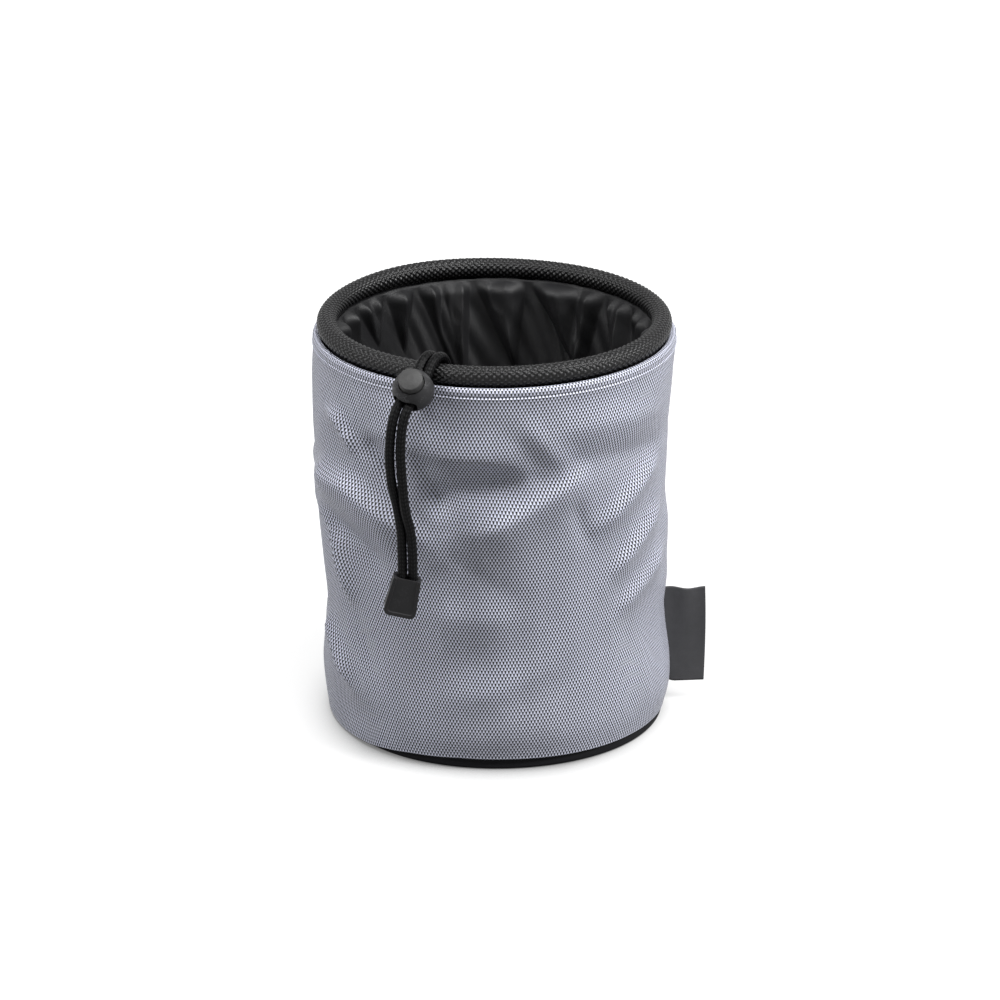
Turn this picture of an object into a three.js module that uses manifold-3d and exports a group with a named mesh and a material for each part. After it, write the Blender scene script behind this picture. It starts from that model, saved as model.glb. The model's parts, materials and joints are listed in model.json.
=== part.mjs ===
// Drawstring peg bag: a round woven shell with a rolled lip, a corded rim on a hoop, a black base,
// a lining, a gathered collar tucked inside, and a drawcord with a ball cord lock and a cord end.
// Millimetres, +Z up. The origin is the centre of the base's underside, and the cord lock is at the
// front, towards -Y.
import * as THREE from 'three';
import { mergeVertices } from 'three/addons/utils/BufferGeometryUtils.js';
import Module from 'manifold-3d';

// Shared clearances and facet counts
const FIT = 0.3;
const ROUND_STEPS = 48;

// Outer shell
const BELLY_RADIUS = 79.9;
const BELLY_HEIGHT = 17;
const WAIST_RADIUS = 77.8;
const WAIST_HEIGHT = 55;
const MOUTH_RADIUS = 82.8;
const LIP_TOP = 185;
const LIP_WIDTH = 5.2;
const LIP_DEPTH = 10;
const HEM_HEIGHT = 5;
const HEM_TUCK = 1.7;
const SHELL_WALL = 1;
const SHELL_STEPS = 16;
const SHELL_LEAN = 2.6;
const LEAN_HEIGHT = 125;
const FOLDS_ABOVE_HEM = 25;
const FOLDS_BELOW_LIP = 14;

// The main folds of the shell's wall. A route runs through places of degrees round from the front and a
// height. A fold has a half width and a rise, which is negative in a hollow.
const SHELL_FOLDS = [
  { route: [[-47, 158], [-26, 158], [-14, 151], [2, 150], [18, 144]], width: 8.5, rise: 3.8 },
  { route: [[-24, 141], [-6, 138], [14, 136]], width: 7, rise: -3.2 },
  { route: [[-14, 116], [4, 115], [20, 123], [38, 142]], width: 8, rise: 3.6 },
  { route: [[-88, 121], [-57, 131], [-36, 122], [-14, 104]], width: 8, rise: 3.4 },
  { route: [[-84, 107], [-56, 112], [-34, 98]], width: 8, rise: -2.2 },
  { route: [[-68, 157], [-54, 161], [-43, 147]], width: 7, rise: 2 },
  { route: [[18, 165], [45, 163], [86, 155]], width: 8, rise: 3 },
  { route: [[22, 153], [50, 149], [80, 143]], width: 7, rise: -2.2 },
  { route: [[33, 111], [53, 120], [84, 128]], width: 7, rise: 2.2 },
  { route: [[36, 87], [56, 98], [82, 116]], width: 7, rise: 2.2 },
  { route: [[44, 65], [61, 76], [90, 86]], width: 7, rise: 1.8 },
  { route: [[98, 150], [126, 159], [150, 153]], width: 8, rise: 3 },
  { route: [[108, 134], [138, 140], [166, 132]], width: 8, rise: -2.6 },
  { route: [[138, 113], [172, 122], [204, 116]], width: 8, rise: 3 },
  { route: [[180, 151], [206, 161], [238, 155]], width: 8, rise: 3.2 },
  { route: [[194, 140], [222, 133], [254, 141]], width: 8, rise: -2.6 },
  { route: [[222, 117], [246, 125], [270, 118]], width: 8, rise: 2.6 },
];

// Base
const BASE_THICKNESS = 0.9;
const BASE_CORNER = 3;
const BASE_FLANGE_HEIGHT = 16;
const STIFFENER_THICKNESS = 1.6;

// Lining
const LINING_THICKNESS = 0.7;
const LINING_BELOW_LIP = 1;

// Corded rim: a braided sleeve folded round a hoop, with its two edges sewn in as a welt
const ROPE_RADIUS = 4.75;
const ROPE_WALL = 1.2;
const ROPE_BORE_STEPS = 8;
const WELT_THICKNESS = 0.9;
const WELT_SLIT = 0.4;

// Gathered collar and its drawcord channel
const COLLAR_THICKNESS = 0.6;
const COLLAR_BELOW_LIP = 2;
const COLLAR_DROP = 52;
const COLLAR_PLEATS = 20;
const COLLAR_PLEAT_STEPS = 6;
const COLLAR_ROWS = 4;
const PLEAT_DEPTH = 2.8;
const PLEAT_EDGE_DEPTH = 0.4;
const COLLAR_DRAW_IN = 9.2;
const CHANNEL_WALL = 0.6;
const CHANNEL_MOUTH_AT = THREE.MathUtils.degToRad(-8.4);
const CHANNEL_MOUTH_HALF = THREE.MathUtils.degToRad(19.5);
const CHANNEL_STEPS = 32;

// Drawcord
const CORD_RADIUS = 2.2;
const CORD_SIDES = 8;
const TAIL_STEPS = 40;

// Ball cord lock
const LOCK_RADIUS = 9.35;
const LOCK_AT = THREE.MathUtils.degToRad(-23.45);
const LOCK_RISE = 3.3;
const LOCK_CLEARANCE = 0.5;
const BUTTON_AIM = new THREE.Vector3(-0.103, -0.674, 0.73);
const CORD_AIM = new THREE.Vector3(-0.47, -0.62, -0.63);
const CORD_SPACING = 4.7;
const CORD_PLAY = 0.4;
const BUTTON_RADIUS = 5.5;
const BUTTON_PLAY = 0.25;
const BUTTON_TRAVEL = 2.5;
const BUTTON_TOP = 11.2;
const BUTTON_FLOOR = 1.5;
const BUTTON_EDGE = 0.7;
const SPRING_RADIUS = 2.7;
const SPRING_WIRE = 0.3;
const SPRING_CURLS = 3;
const SPRING_POCKET = 1.4;
const SPRING_SEAT = 1;

// Cord end: two snapped halves that close over the two cord tails
const END_TOP = new THREE.Vector3(-39.6, -93.4, 100.5);
const END_TILT = THREE.MathUtils.degToRad(12.7);
const END_LENGTH = 18;
const END_TOP_WIDTH = 12.4;
const END_BOTTOM_WIDTH = 15;
const END_CORNER = 3;
const END_HALF_DEPTH = 4;
const END_CAVITY_LENGTH = 11;
const END_PANEL_DEPTH = 0.9;
const END_PANEL_MARGIN = 1.5;

// Side label, a folded tape sewn into the side seam
const LABEL_WIDTH = 17.6;
const LABEL_LOW = 9.5;
const LABEL_HIGH = 56.5;
const LABEL_PLY = 0.4;
const LABEL_BEHIND = THREE.MathUtils.degToRad(3.5);

// The two cord tails, from the channel's mouth up inside the bag, over the rim, through the lock and
// down to the cord end
const LEFT_TAIL = [
  [-30.6, -58.5, 127.6], [-28.0, -59.5, 127.6], [-24.9, -60.2, 128.0], [-21.7, -60.4, 129.4],
  [-19.1, -60.4, 131.9], [-17.4, -60.2, 135.4], [-16.7, -59.9, 140.0], [-18.4, -59.6, 156.0],
  [-22.5, -59.6, 172.0], [-25.2, -60.2, 182.0], [-26.3, -61.0, 187.4], [-26.9, -62.1, 191.2],
  [-27.9, -64.1, 194.1], [-29.2, -66.8, 195.8], [-30.7, -69.8, 196.4], [-32.1, -72.8, 195.8],
  [-33.4, -75.4, 194.2], [-35.1, -78.8, 191.2], [-38.8, -83.6, 186.3], [-42.3, -88.3, 181.6],
  [-44.3, -90.9, 178.3], [-45.7, -92.8, 173.8], [-46.6, -94.0, 168.0], [-47.1, -94.4, 160.6],
  [-47.0, -94.3, 152.5], [-46.0, -94.0, 143.5], [-44.1, -92.7, 134.0], [-42.5, -92.5, 122.5],
  [-41.6, -92.9, 112.0], [-41.3, -93.3, 105.6], [-41.9, -93.4, 101.0], [-43.9, -93.4, 92.2],
];
const RIGHT_TAIL = [
  [12.4, -64.8, 127.6], [9.6, -65.2, 127.6], [6.4, -64.9, 127.6], [2.7, -63.9, 128.0],
  [-1.5, -62.8, 129.4], [-5.2, -61.8, 132.6], [-8.2, -61.0, 137.5], [-10.2, -60.8, 144.0],
  [-13.6, -61.2, 156.0], [-17.6, -61.4, 172.0], [-20.5, -62.3, 182.0], [-21.7, -63.2, 187.6],
  [-22.3, -64.2, 191.2], [-23.3, -66.1, 194.0], [-24.6, -68.6, 195.7], [-26.1, -71.5, 196.3],
  [-27.6, -74.5, 195.7], [-29.0, -77.1, 194.0], [-31.0, -80.8, 190.2], [-34.6, -85.6, 185.1],
  [-38.2, -90.2, 180.4], [-40.1, -92.7, 177.2], [-41.3, -94.4, 172.8], [-42.0, -95.6, 167.2],
  [-42.3, -96.1, 160.0], [-42.0, -95.9, 152.3], [-41.4, -95.8, 143.5], [-40.4, -96.1, 134.0],
  [-38.8, -95.7, 122.5], [-37.4, -94.9, 112.6], [-36.8, -93.9, 105.6], [-37.3, -93.4, 100.4],
  [-39.3, -93.4, 91.2],
];

// Sizes that follow from those above
const LIP_INNER_RADIUS = MOUTH_RADIUS - LIP_WIDTH;
const ROPE_RING_RADIUS = LIP_INNER_RADIUS - FIT - WELT_THICKNESS - WELT_SLIT / 2;
const ROLL_RADIUS = LIP_WIDTH / 2;
const ROPE_ACROSS = MOUTH_RADIUS - ROLL_RADIUS - ROPE_RING_RADIUS;
const ROPE_RISE = Math.sqrt((ROPE_RADIUS + ROLL_RADIUS + FIT) ** 2 - ROPE_ACROSS ** 2);
const ROPE_HEIGHT = LIP_TOP - ROLL_RADIUS + ROPE_RISE;
const LINING_TOP_RADIUS = ROPE_RING_RADIUS - WELT_SLIT / 2 - WELT_THICKNESS - FIT;
const BASE_RADIUS = BELLY_RADIUS - HEM_TUCK - SHELL_WALL - FIT;
const LINING_FOOT_RADIUS = BASE_RADIUS - BASE_THICKNESS - FIT;
const LINING_WAIST_RADIUS = Math.min(LINING_FOOT_RADIUS, WAIST_RADIUS - SHELL_WALL - FIT);
const STIFFENER_BOTTOM = BASE_THICKNESS + FIT;
const LINING_BOTTOM = STIFFENER_BOTTOM + STIFFENER_THICKNESS + FIT;
const LINING_TOP = LIP_TOP - LINING_BELOW_LIP;
const COLLAR_TOP = LIP_TOP - COLLAR_BELOW_LIP;
const COLLAR_FOOT = COLLAR_TOP - COLLAR_DROP;
const LINING_SLOPE = (LINING_TOP_RADIUS - LINING_WAIST_RADIUS) / (LINING_TOP - WAIST_HEIGHT);
const LINING_BEHIND_FOOT = LINING_TOP_RADIUS - (LINING_TOP - COLLAR_FOOT) * LINING_SLOPE;
const CHANNEL_RADIUS = LINING_BEHIND_FOOT - COLLAR_DRAW_IN;
const CHANNEL_BORE = CORD_RADIUS + FIT;
const CHANNEL_SECTION = CHANNEL_BORE + CHANNEL_WALL;
const CHANNEL_HEIGHT = COLLAR_FOOT - FIT - CHANNEL_SECTION;
const LOCK_OUT = Math.sqrt((ROLL_RADIUS + LOCK_RADIUS + LOCK_CLEARANCE) ** 2 - LOCK_RISE ** 2);
const LOCK_REACH = MOUTH_RADIUS - ROLL_RADIUS + LOCK_OUT;
const LOCK_HEIGHT = LIP_TOP - ROLL_RADIUS + LOCK_RISE;
const SLOT_HALF_HEIGHT = CORD_RADIUS + CORD_PLAY;
const SLOT_HALF_WIDTH = CORD_SPACING / 2 + CORD_RADIUS + CORD_PLAY;
const BUTTON_BOTTOM = -SLOT_HALF_HEIGHT - BUTTON_FLOOR;
const BUTTON_BORE_FLOOR = BUTTON_BOTTOM - BUTTON_TRAVEL - FIT;
const SPRING_POCKET_RADIUS = SPRING_RADIUS + SPRING_WIRE + FIT;
const LABEL_REACH = BELLY_RADIUS + LABEL_WIDTH;

// Solids and booleans
const wasm = await Module();
wasm.setup();

function signedVolume(positions, index) {
  const a = new THREE.Vector3();
  const b = new THREE.Vector3();
  const c = new THREE.Vector3();
  let volume = 0;
  for (let i = 0; i < index.length; i += 3) {
    a.fromBufferAttribute(positions, index[i]);
    b.fromBufferAttribute(positions, index[i + 1]);
    c.fromBufferAttribute(positions, index[i + 2]);
    volume += a.dot(b.cross(c)) / 6;
  }
  return volume;
}

// One closed body: shared vertices merged, flat triangles dropped, faces turned outwards
function solid(geometry) {
  geometry.deleteAttribute('normal');
  geometry.deleteAttribute('uv');
  const merged = mergeVertices(geometry, 1e-4);
  const index = [];
  for (let i = 0; i < merged.index.count; i += 3) {
    const [a, b, c] = [0, 1, 2].map((k) => merged.index.getX(i + k));
    if (a !== b && b !== c && c !== a) index.push(a, b, c);
  }
  if (signedVolume(merged.attributes.position, index) < 0) index.reverse();
  merged.setIndex(index);
  return merged;
}

function toManifold(geometry) {
  const mesh = new wasm.Mesh({
    numProp: 3,
    vertProperties: new Float32Array(geometry.attributes.position.array),
    triVerts: new Uint32Array(geometry.index.array),
  });
  return new wasm.Manifold(mesh);
}

function cut(body, ...tools) {
  let result = toManifold(body);
  for (const tool of tools) result = result.subtract(toManifold(tool));
  const mesh = result.getMesh();
  const geometry = new THREE.BufferGeometry();
  geometry.setAttribute('position', new THREE.BufferAttribute(new Float32Array(mesh.vertProperties), 3));
  geometry.setIndex(new THREE.BufferAttribute(new Uint32Array(mesh.triVerts), 1));
  return solid(geometry);
}

// Profiles, revolves and sweeps
const point = (radius, height) => new THREE.Vector2(radius, height);

function arc(centre, radius, from, to, steps) {
  return Array.from({ length: steps + 1 }, (_, i) => {
    const angle = from + ((to - from) * i) / steps;
    return point(centre.x + radius * Math.cos(angle), centre.y + radius * Math.sin(angle));
  });
}

// Revolves an outline of radius and height round Z. An outline that starts on the axis ends there too.
function revolve(outline) {
  const onAxis = outline[0].x === 0;
  const profile = onAxis ? outline : [...outline, outline[0]];
  const geometry = new THREE.LatheGeometry(profile, ROUND_STEPS);
  geometry.rotateX(Math.PI / 2);
  return solid(geometry);
}

// A place at an angle from the front, positive towards +X
function around(radius, angle, height) {
  return new THREE.Vector3(radius * Math.sin(angle), -radius * Math.cos(angle), height);
}

// A ring of cloth from rows of points: those of its outer face, then those of its inner face. Both faces are
// split along the same diagonals, so its thickness stays even.
function clothRing(outer, inner) {
  const rows = [...outer, ...inner];
  const columns = rows[0].length;
  const index = [];
  rows.forEach((row, i) => {
    const here = i * columns;
    const after = ((i + 1) % rows.length) * columns;
    row.forEach((_, column) => {
      const next = (column + 1) % columns;
      const [a, b, c, d] = [here + column, after + column, after + next, here + next];
      index.push(...(i < outer.length ? [a, b, c, a, c, d] : [b, c, d, b, d, a]));
    });
  });
  const geometry = new THREE.BufferGeometry().setFromPoints(rows.flat());
  geometry.setIndex(index);
  return solid(geometry);
}

function ringSection(radius, sides) {
  const section = new THREE.Shape();
  section.setFromPoints(arc(point(0, 0), radius, 0, Math.PI * 2 * (1 - 1 / sides), sides - 1));
  return section;
}

function sweep(section, path, steps) {
  return solid(new THREE.ExtrudeGeometry(section, { steps, extrudePath: path, bevelEnabled: false }));
}

function prism(shape, depth, curveSegments = 6) {
  return solid(new THREE.ExtrudeGeometry(shape, { depth, bevelEnabled: false, curveSegments }));
}

// A level arc round the bag. Angle 0 is the front, and positive angles go towards +X.
class LevelArc extends THREE.Curve {
  constructor(radius, height, from, to) {
    super();
    Object.assign(this, { radius, height, from, to });
  }

  getPoint(t) {
    const angle = this.from + (this.to - this.from) * t;
    return around(this.radius, angle, this.height);
  }
}

class Helix extends THREE.Curve {
  constructor(radius, bottom, top, curls) {
    super();
    Object.assign(this, { radius, bottom, top, curls });
  }

  getPoint(t) {
    const angle = t * this.curls * Math.PI * 2;
    const height = this.bottom + (this.top - this.bottom) * t;
    return new THREE.Vector3(this.radius * Math.cos(angle), this.radius * Math.sin(angle), height);
  }
}

// Outer shell: belly, waist and mouth on one curve, a lip rolled inwards and turned down
function shellOutline() {
  const curve = new THREE.SplineCurve([
    point(BELLY_RADIUS - HEM_TUCK, HEM_HEIGHT),
    point(BELLY_RADIUS, BELLY_HEIGHT),
    point(WAIST_RADIUS, WAIST_HEIGHT),
    point((WAIST_RADIUS + MOUTH_RADIUS) / 2, (WAIST_HEIGHT + LIP_TOP) / 2),
    point(MOUTH_RADIUS, LIP_TOP - ROLL_RADIUS),
  ]);
  return curve.getSpacedPoints(SHELL_STEPS);
}

// How far one fold pushes the wall out at a place on the wall, spread flat
function foldRise({ route, width, rise }, angle, height) {
  const middle = THREE.MathUtils.degToRad(route[Math.floor(route.length / 2)][0]);
  const turn = THREE.MathUtils.euclideanModulo(angle - middle + Math.PI, Math.PI * 2) - Math.PI;
  const place = new THREE.Vector3(turn * MOUTH_RADIUS, height, 0);
  const stops = route.map(([degrees, up]) => {
    return new THREE.Vector3((THREE.MathUtils.degToRad(degrees) - middle) * MOUTH_RADIUS, up, 0);
  });
  const nearest = new THREE.Vector3();
  const gaps = stops.slice(1).map((stop, i) => {
    new THREE.Line3(stops[i], stop).closestPointToPoint(place, true, nearest);
    return nearest.distanceTo(place);
  });
  return rise * Math.exp(-((Math.min(...gaps) / width) ** 2));
}

// Where a point of the wall comes to lie: leaning to the left above the waist, and pushed out or in by the
// folds, which die out at the hem and the lip and come no nearer to the lining than the fit
function foldedWall(radius, angle, height, inset) {
  const { smoothstep } = THREE.MathUtils;
  const low = smoothstep(height, HEM_HEIGHT, HEM_HEIGHT + FOLDS_ABOVE_HEM);
  const high = smoothstep(LIP_TOP - height, ROLL_RADIUS, FOLDS_BELOW_LIP);
  const lean = SHELL_LEAN * smoothstep(height, WAIST_HEIGHT, LEAN_HEIGHT) * high;
  const folds = SHELL_FOLDS.reduce((sum, fold) => sum + foldRise(fold, angle, height), 0) * low * high;
  const room = radius - lean * Math.sin(angle) - SHELL_WALL - FIT - LINING_FOOT_RADIUS;
  const place = around(radius + Math.max(folds, -room) - inset, angle, height);
  place.x -= lean;
  return place;
}

function outerShell() {
  const angles = Array.from({ length: ROUND_STEPS }, (_, i) => (i / ROUND_STEPS) * Math.PI * 2);
  const ring = (p) => angles.map((angle) => around(p.x, angle, p.y));
  const wall = shellOutline().slice(0, -1);
  const face = (inset) => wall.map((p) => angles.map((angle) => foldedWall(p.x, angle, p.y, inset)));
  const rollCentre = point(MOUTH_RADIUS - ROLL_RADIUS, LIP_TOP - ROLL_RADIUS);
  const plyFoot = LIP_TOP - LIP_DEPTH;
  const outerLip = [...arc(rollCentre, ROLL_RADIUS, 0, Math.PI, 6), point(LIP_INNER_RADIUS, plyFoot)];
  const innerLip = [
    point(LIP_INNER_RADIUS + SHELL_WALL, plyFoot),
    ...arc(rollCentre, ROLL_RADIUS - SHELL_WALL, Math.PI, 0, 4),
  ];
  return clothRing([...face(0), ...outerLip.map(ring)], [...innerLip.map(ring), ...face(SHELL_WALL).reverse()]);
}

// Base: a shallow dish whose flange is sewn inside the shell's hem, with a stiff disc in it
function basePanel() {
  const corner = point(BASE_RADIUS - BASE_CORNER, BASE_CORNER);
  return revolve([
    point(0, 0),
    ...arc(corner, BASE_CORNER, -Math.PI / 2, 0, 4),
    point(BASE_RADIUS, BASE_FLANGE_HEIGHT),
    point(BASE_RADIUS - BASE_THICKNESS, BASE_FLANGE_HEIGHT),
    ...arc(corner, BASE_CORNER - BASE_THICKNESS, 0, -Math.PI / 2, 3),
    point(0, BASE_THICKNESS),
  ]);
}

function disc(radius, bottom, thickness) {
  return revolve([
    point(0, bottom),
    point(radius, bottom),
    point(radius, bottom + thickness),
    point(0, bottom + thickness),
  ]);
}

// Lining: a tube from the base past the shell's waist to the welt, over its own floor
function liningWall() {
  return revolve([
    point(LINING_FOOT_RADIUS - LINING_THICKNESS, LINING_BOTTOM),
    point(LINING_FOOT_RADIUS, LINING_BOTTOM),
    point(LINING_WAIST_RADIUS, WAIST_HEIGHT),
    point(LINING_TOP_RADIUS, LINING_TOP),
    point(LINING_TOP_RADIUS - LINING_THICKNESS, LINING_TOP),
    point(LINING_WAIST_RADIUS - LINING_THICKNESS, WAIST_HEIGHT),
  ]);
}

// Corded rim: the sleeve is open along its foot, where its two edges run down as the welt
function rimRope() {
  const centre = point(ROPE_RING_RADIUS, ROPE_HEIGHT);
  const foot = LIP_TOP - LIP_DEPTH;
  const slit = WELT_SLIT / 2;
  const edge = slit + WELT_THICKNESS;
  const bore = ROPE_RADIUS - ROPE_WALL;
  const outerStart = -Math.PI / 2 + Math.asin(edge / ROPE_RADIUS);
  const innerStart = -Math.PI / 2 + Math.asin(slit / bore);
  return revolve([
    point(centre.x + edge, foot),
    ...arc(centre, ROPE_RADIUS, outerStart, Math.PI - outerStart, 10),
    point(centre.x - edge, foot),
    point(centre.x - slit, foot),
    ...arc(centre, bore, Math.PI - innerStart, innerStart, ROPE_BORE_STEPS),
    point(centre.x + slit, foot),
  ]);
}

function rimHoop() {
  const radius = (ROPE_RADIUS - ROPE_WALL) * Math.cos(Math.PI / ROPE_BORE_STEPS) - FIT;
  const centre = point(ROPE_RING_RADIUS, ROPE_HEIGHT);
  return revolve(arc(centre, radius, 0, Math.PI * 1.8, 9));
}

// Collar: a gathered band with pleats that are deepest half way down
function collar() {
  const columns = COLLAR_PLEATS * COLLAR_PLEAT_STEPS;
  const topRadius = LINING_TOP_RADIUS - LINING_THICKNESS - FIT - PLEAT_EDGE_DEPTH - COLLAR_THICKNESS / 2;
  const face = (offset) => Array.from({ length: COLLAR_ROWS }, (_, row) => {
    const down = row / (COLLAR_ROWS - 1);
    const depth = PLEAT_EDGE_DEPTH + (PLEAT_DEPTH - PLEAT_EDGE_DEPTH) * Math.sin(Math.PI * down);
    const mean = THREE.MathUtils.lerp(topRadius, CHANNEL_RADIUS, down) + offset;
    return Array.from({ length: columns }, (__, column) => {
      const angle = (column / columns) * Math.PI * 2;
      return around(mean + depth * Math.cos(angle * COLLAR_PLEATS), angle, COLLAR_TOP - COLLAR_DROP * down);
    });
  });
  return clothRing(face(COLLAR_THICKNESS / 2), face(-COLLAR_THICKNESS / 2).reverse());
}

// Channel and drawcord: the channel is open at its mouth, where the two tails turn upwards
function channelPath() {
  const start = CHANNEL_MOUTH_AT + CHANNEL_MOUTH_HALF;
  const end = CHANNEL_MOUTH_AT - CHANNEL_MOUTH_HALF + Math.PI * 2;
  return new LevelArc(CHANNEL_RADIUS, CHANNEL_HEIGHT, start, end);
}

function collarChannel() {
  const section = ringSection(CHANNEL_SECTION, CORD_SIDES);
  section.holes.push(ringSection(CHANNEL_BORE, CORD_SIDES));
  return sweep(section, channelPath(), CHANNEL_STEPS);
}

function drawcordRing() {
  return sweep(ringSection(CORD_RADIUS, CORD_SIDES), channelPath(), CHANNEL_STEPS);
}

function drawcordTail(route) {
  const points = route.map((p) => new THREE.Vector3(...p));
  const path = new THREE.CatmullRomCurve3(points, false, 'centripetal');
  return sweep(ringSection(CORD_RADIUS, CORD_SIDES), path, TAIL_STEPS);
}

// A round-ended slot along Y for the two cords side by side, from z low to z high
function cordSlot(low, high, length) {
  const shape = new THREE.Shape();
  const round = Math.min(SLOT_HALF_HEIGHT, (high - low) / 2);
  const across = SLOT_HALF_WIDTH - round;
  shape.absarc(across, high - round, round, 0, Math.PI / 2);
  shape.absarc(-across, high - round, round, Math.PI / 2, Math.PI);
  shape.absarc(-across, low + round, round, Math.PI, Math.PI * 1.5);
  shape.absarc(across, low + round, round, Math.PI * 1.5, Math.PI * 2);
  const slot = prism(shape, length, 4);
  slot.rotateX(Math.PI / 2);
  slot.translate(0, length / 2, 0);
  return slot;
}

function post(radius, low, high, sides = 24) {
  const geometry = new THREE.CylinderGeometry(radius, radius, high - low, sides);
  geometry.rotateX(Math.PI / 2);
  geometry.translate(0, 0, (low + high) / 2);
  return solid(geometry);
}

// Cord lock: a ball with a bore for the button, a pocket for the spring and a slot for the cords.
// Its own Z is the button's axis, and its own Y runs back along the cords.
function lockBody() {
  const ball = new THREE.SphereGeometry(LOCK_RADIUS, 28, 18);
  ball.rotateX(Math.PI / 2);
  const past = LOCK_RADIUS * 2;
  return cut(
    solid(ball),
    post(BUTTON_RADIUS + BUTTON_PLAY, BUTTON_BORE_FLOOR, past),
    post(SPRING_POCKET_RADIUS, BUTTON_BORE_FLOOR - SPRING_POCKET, past, 16),
    cordSlot(-SLOT_HALF_HEIGHT, SLOT_HALF_HEIGHT, past * 2),
  );
}

// Button: its slot holds the cords against the ball's slot, and clears them when it is pressed
function lockButton() {
  const edgeCentre = point(BUTTON_RADIUS - BUTTON_EDGE, BUTTON_TOP - BUTTON_EDGE);
  const outline = [
    point(0, BUTTON_BOTTOM),
    point(BUTTON_RADIUS, BUTTON_BOTTOM),
    ...arc(edgeCentre, BUTTON_EDGE, 0, Math.PI / 2, 3),
    point(0, BUTTON_TOP),
  ];
  const geometry = new THREE.LatheGeometry(outline, 24);
  geometry.rotateX(Math.PI / 2);
  return cut(
    solid(geometry),
    cordSlot(-SLOT_HALF_HEIGHT, SLOT_HALF_HEIGHT + BUTTON_TRAVEL, BUTTON_RADIUS * 4),
    post(SPRING_POCKET_RADIUS, BUTTON_BOTTOM - SPRING_SEAT, BUTTON_BOTTOM + SPRING_SEAT, 16),
  );
}

function lockSpring() {
  const bottom = BUTTON_BORE_FLOOR - SPRING_POCKET + FIT + SPRING_WIRE;
  const top = BUTTON_BOTTOM + SPRING_SEAT - FIT - SPRING_WIRE;
  const path = new Helix(SPRING_RADIUS, bottom, top, SPRING_CURLS);
  return sweep(ringSection(SPRING_WIRE, 5), path, SPRING_CURLS * 8);
}

// Cord end: a tapered shell in two halves, with a sunken front panel that is open at its top.
// Its own Y points up along the cords, and its own Z points to the front.
function endOutline(inset, top) {
  const half = END_BOTTOM_WIDTH / 2 - inset;
  const shoulder = END_TOP_WIDTH / 2 - inset;
  const corner = END_CORNER - inset;
  const low = inset - END_LENGTH;
  const shape = new THREE.Shape();
  shape.moveTo(shoulder, top);
  shape.lineTo(-shoulder, top);
  shape.lineTo(-half, low + corner);
  shape.quadraticCurveTo(-half, low, -half + corner, low);
  shape.lineTo(half - corner, low);
  shape.quadraticCurveTo(half, low, half, low + corner);
  return shape;
}

function endCavity() {
  return cordSlot(-SLOT_HALF_HEIGHT, SLOT_HALF_HEIGHT, END_CAVITY_LENGTH * 2);
}

function endFront() {
  const half = prism(endOutline(0, 0), END_HALF_DEPTH - FIT / 2);
  half.translate(0, 0, FIT / 2);
  const panel = prism(endOutline(END_PANEL_MARGIN, END_PANEL_MARGIN), END_PANEL_DEPTH * 2);
  panel.translate(0, 0, END_HALF_DEPTH - END_PANEL_DEPTH);
  return cut(half, endCavity(), panel);
}

function endBack() {
  const half = prism(endOutline(0, 0), END_HALF_DEPTH - FIT / 2);
  half.translate(0, 0, -END_HALF_DEPTH);
  return cut(half, endCavity());
}

// Side label: two plies joined at the outer fold, cut along the shell on its inner edge
function sideLabel() {
  const edge = shellOutline().filter((p) => p.y > LABEL_LOW && p.y < LABEL_HIGH);
  const curve = new THREE.SplineCurve(shellOutline());
  const heightAt = (height) => {
    const samples = curve.getPoints(400);
    const nearest = samples.reduce((a, b) => (Math.abs(b.y - height) < Math.abs(a.y - height) ? b : a));
    return point(nearest.x + FIT, height);
  };
  const shape = new THREE.Shape([
    point(LABEL_REACH, LABEL_LOW),
    point(LABEL_REACH, LABEL_HIGH),
    heightAt(LABEL_HIGH),
    ...edge.reverse().map((p) => point(p.x + FIT, p.y)),
    heightAt(LABEL_LOW),
  ]);
  const thickness = LABEL_PLY * 2 + FIT;
  const label = prism(shape, thickness);
  const gapShape = new THREE.Shape([
    point(0, LABEL_LOW - LABEL_PLY),
    point(LABEL_REACH - LABEL_PLY, LABEL_LOW - LABEL_PLY),
    point(LABEL_REACH - LABEL_PLY, LABEL_HIGH + LABEL_PLY),
    point(0, LABEL_HIGH + LABEL_PLY),
  ]);
  const gap = prism(gapShape, FIT);
  gap.translate(0, 0, LABEL_PLY);
  const folded = cut(label, gap);
  folded.translate(0, 0, -thickness / 2);
  folded.rotateX(Math.PI / 2);
  return folded;
}

// Finishes
function finish(color, roughness, metalness = 0) {
  return new THREE.MeshStandardMaterial({ color, roughness, metalness });
}

const GREY_WEAVE = finish(0x85858f, 0.85);
const BLACK_CLOTH = finish(0x17171a, 0.8);
const BLACK_SATIN = finish(0x1b1b1f, 0.55);
const BLACK_BRAID = finish(0x202023, 0.75);
const BLACK_PLASTIC = finish(0x232326, 0.5);
const BOARD = finish(0x3a3a3c, 0.7);
const WIRE = finish(0xb5b7ba, 0.35, 1);
const LABEL_TAPE = finish(0x4b4b4e, 0.8);

// Assembly
const pegBag = new THREE.Group();

function add(parent, name, geometry, material) {
  const mesh = new THREE.Mesh(geometry, material);
  mesh.name = name;
  parent.add(mesh);
  return mesh;
}

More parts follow.
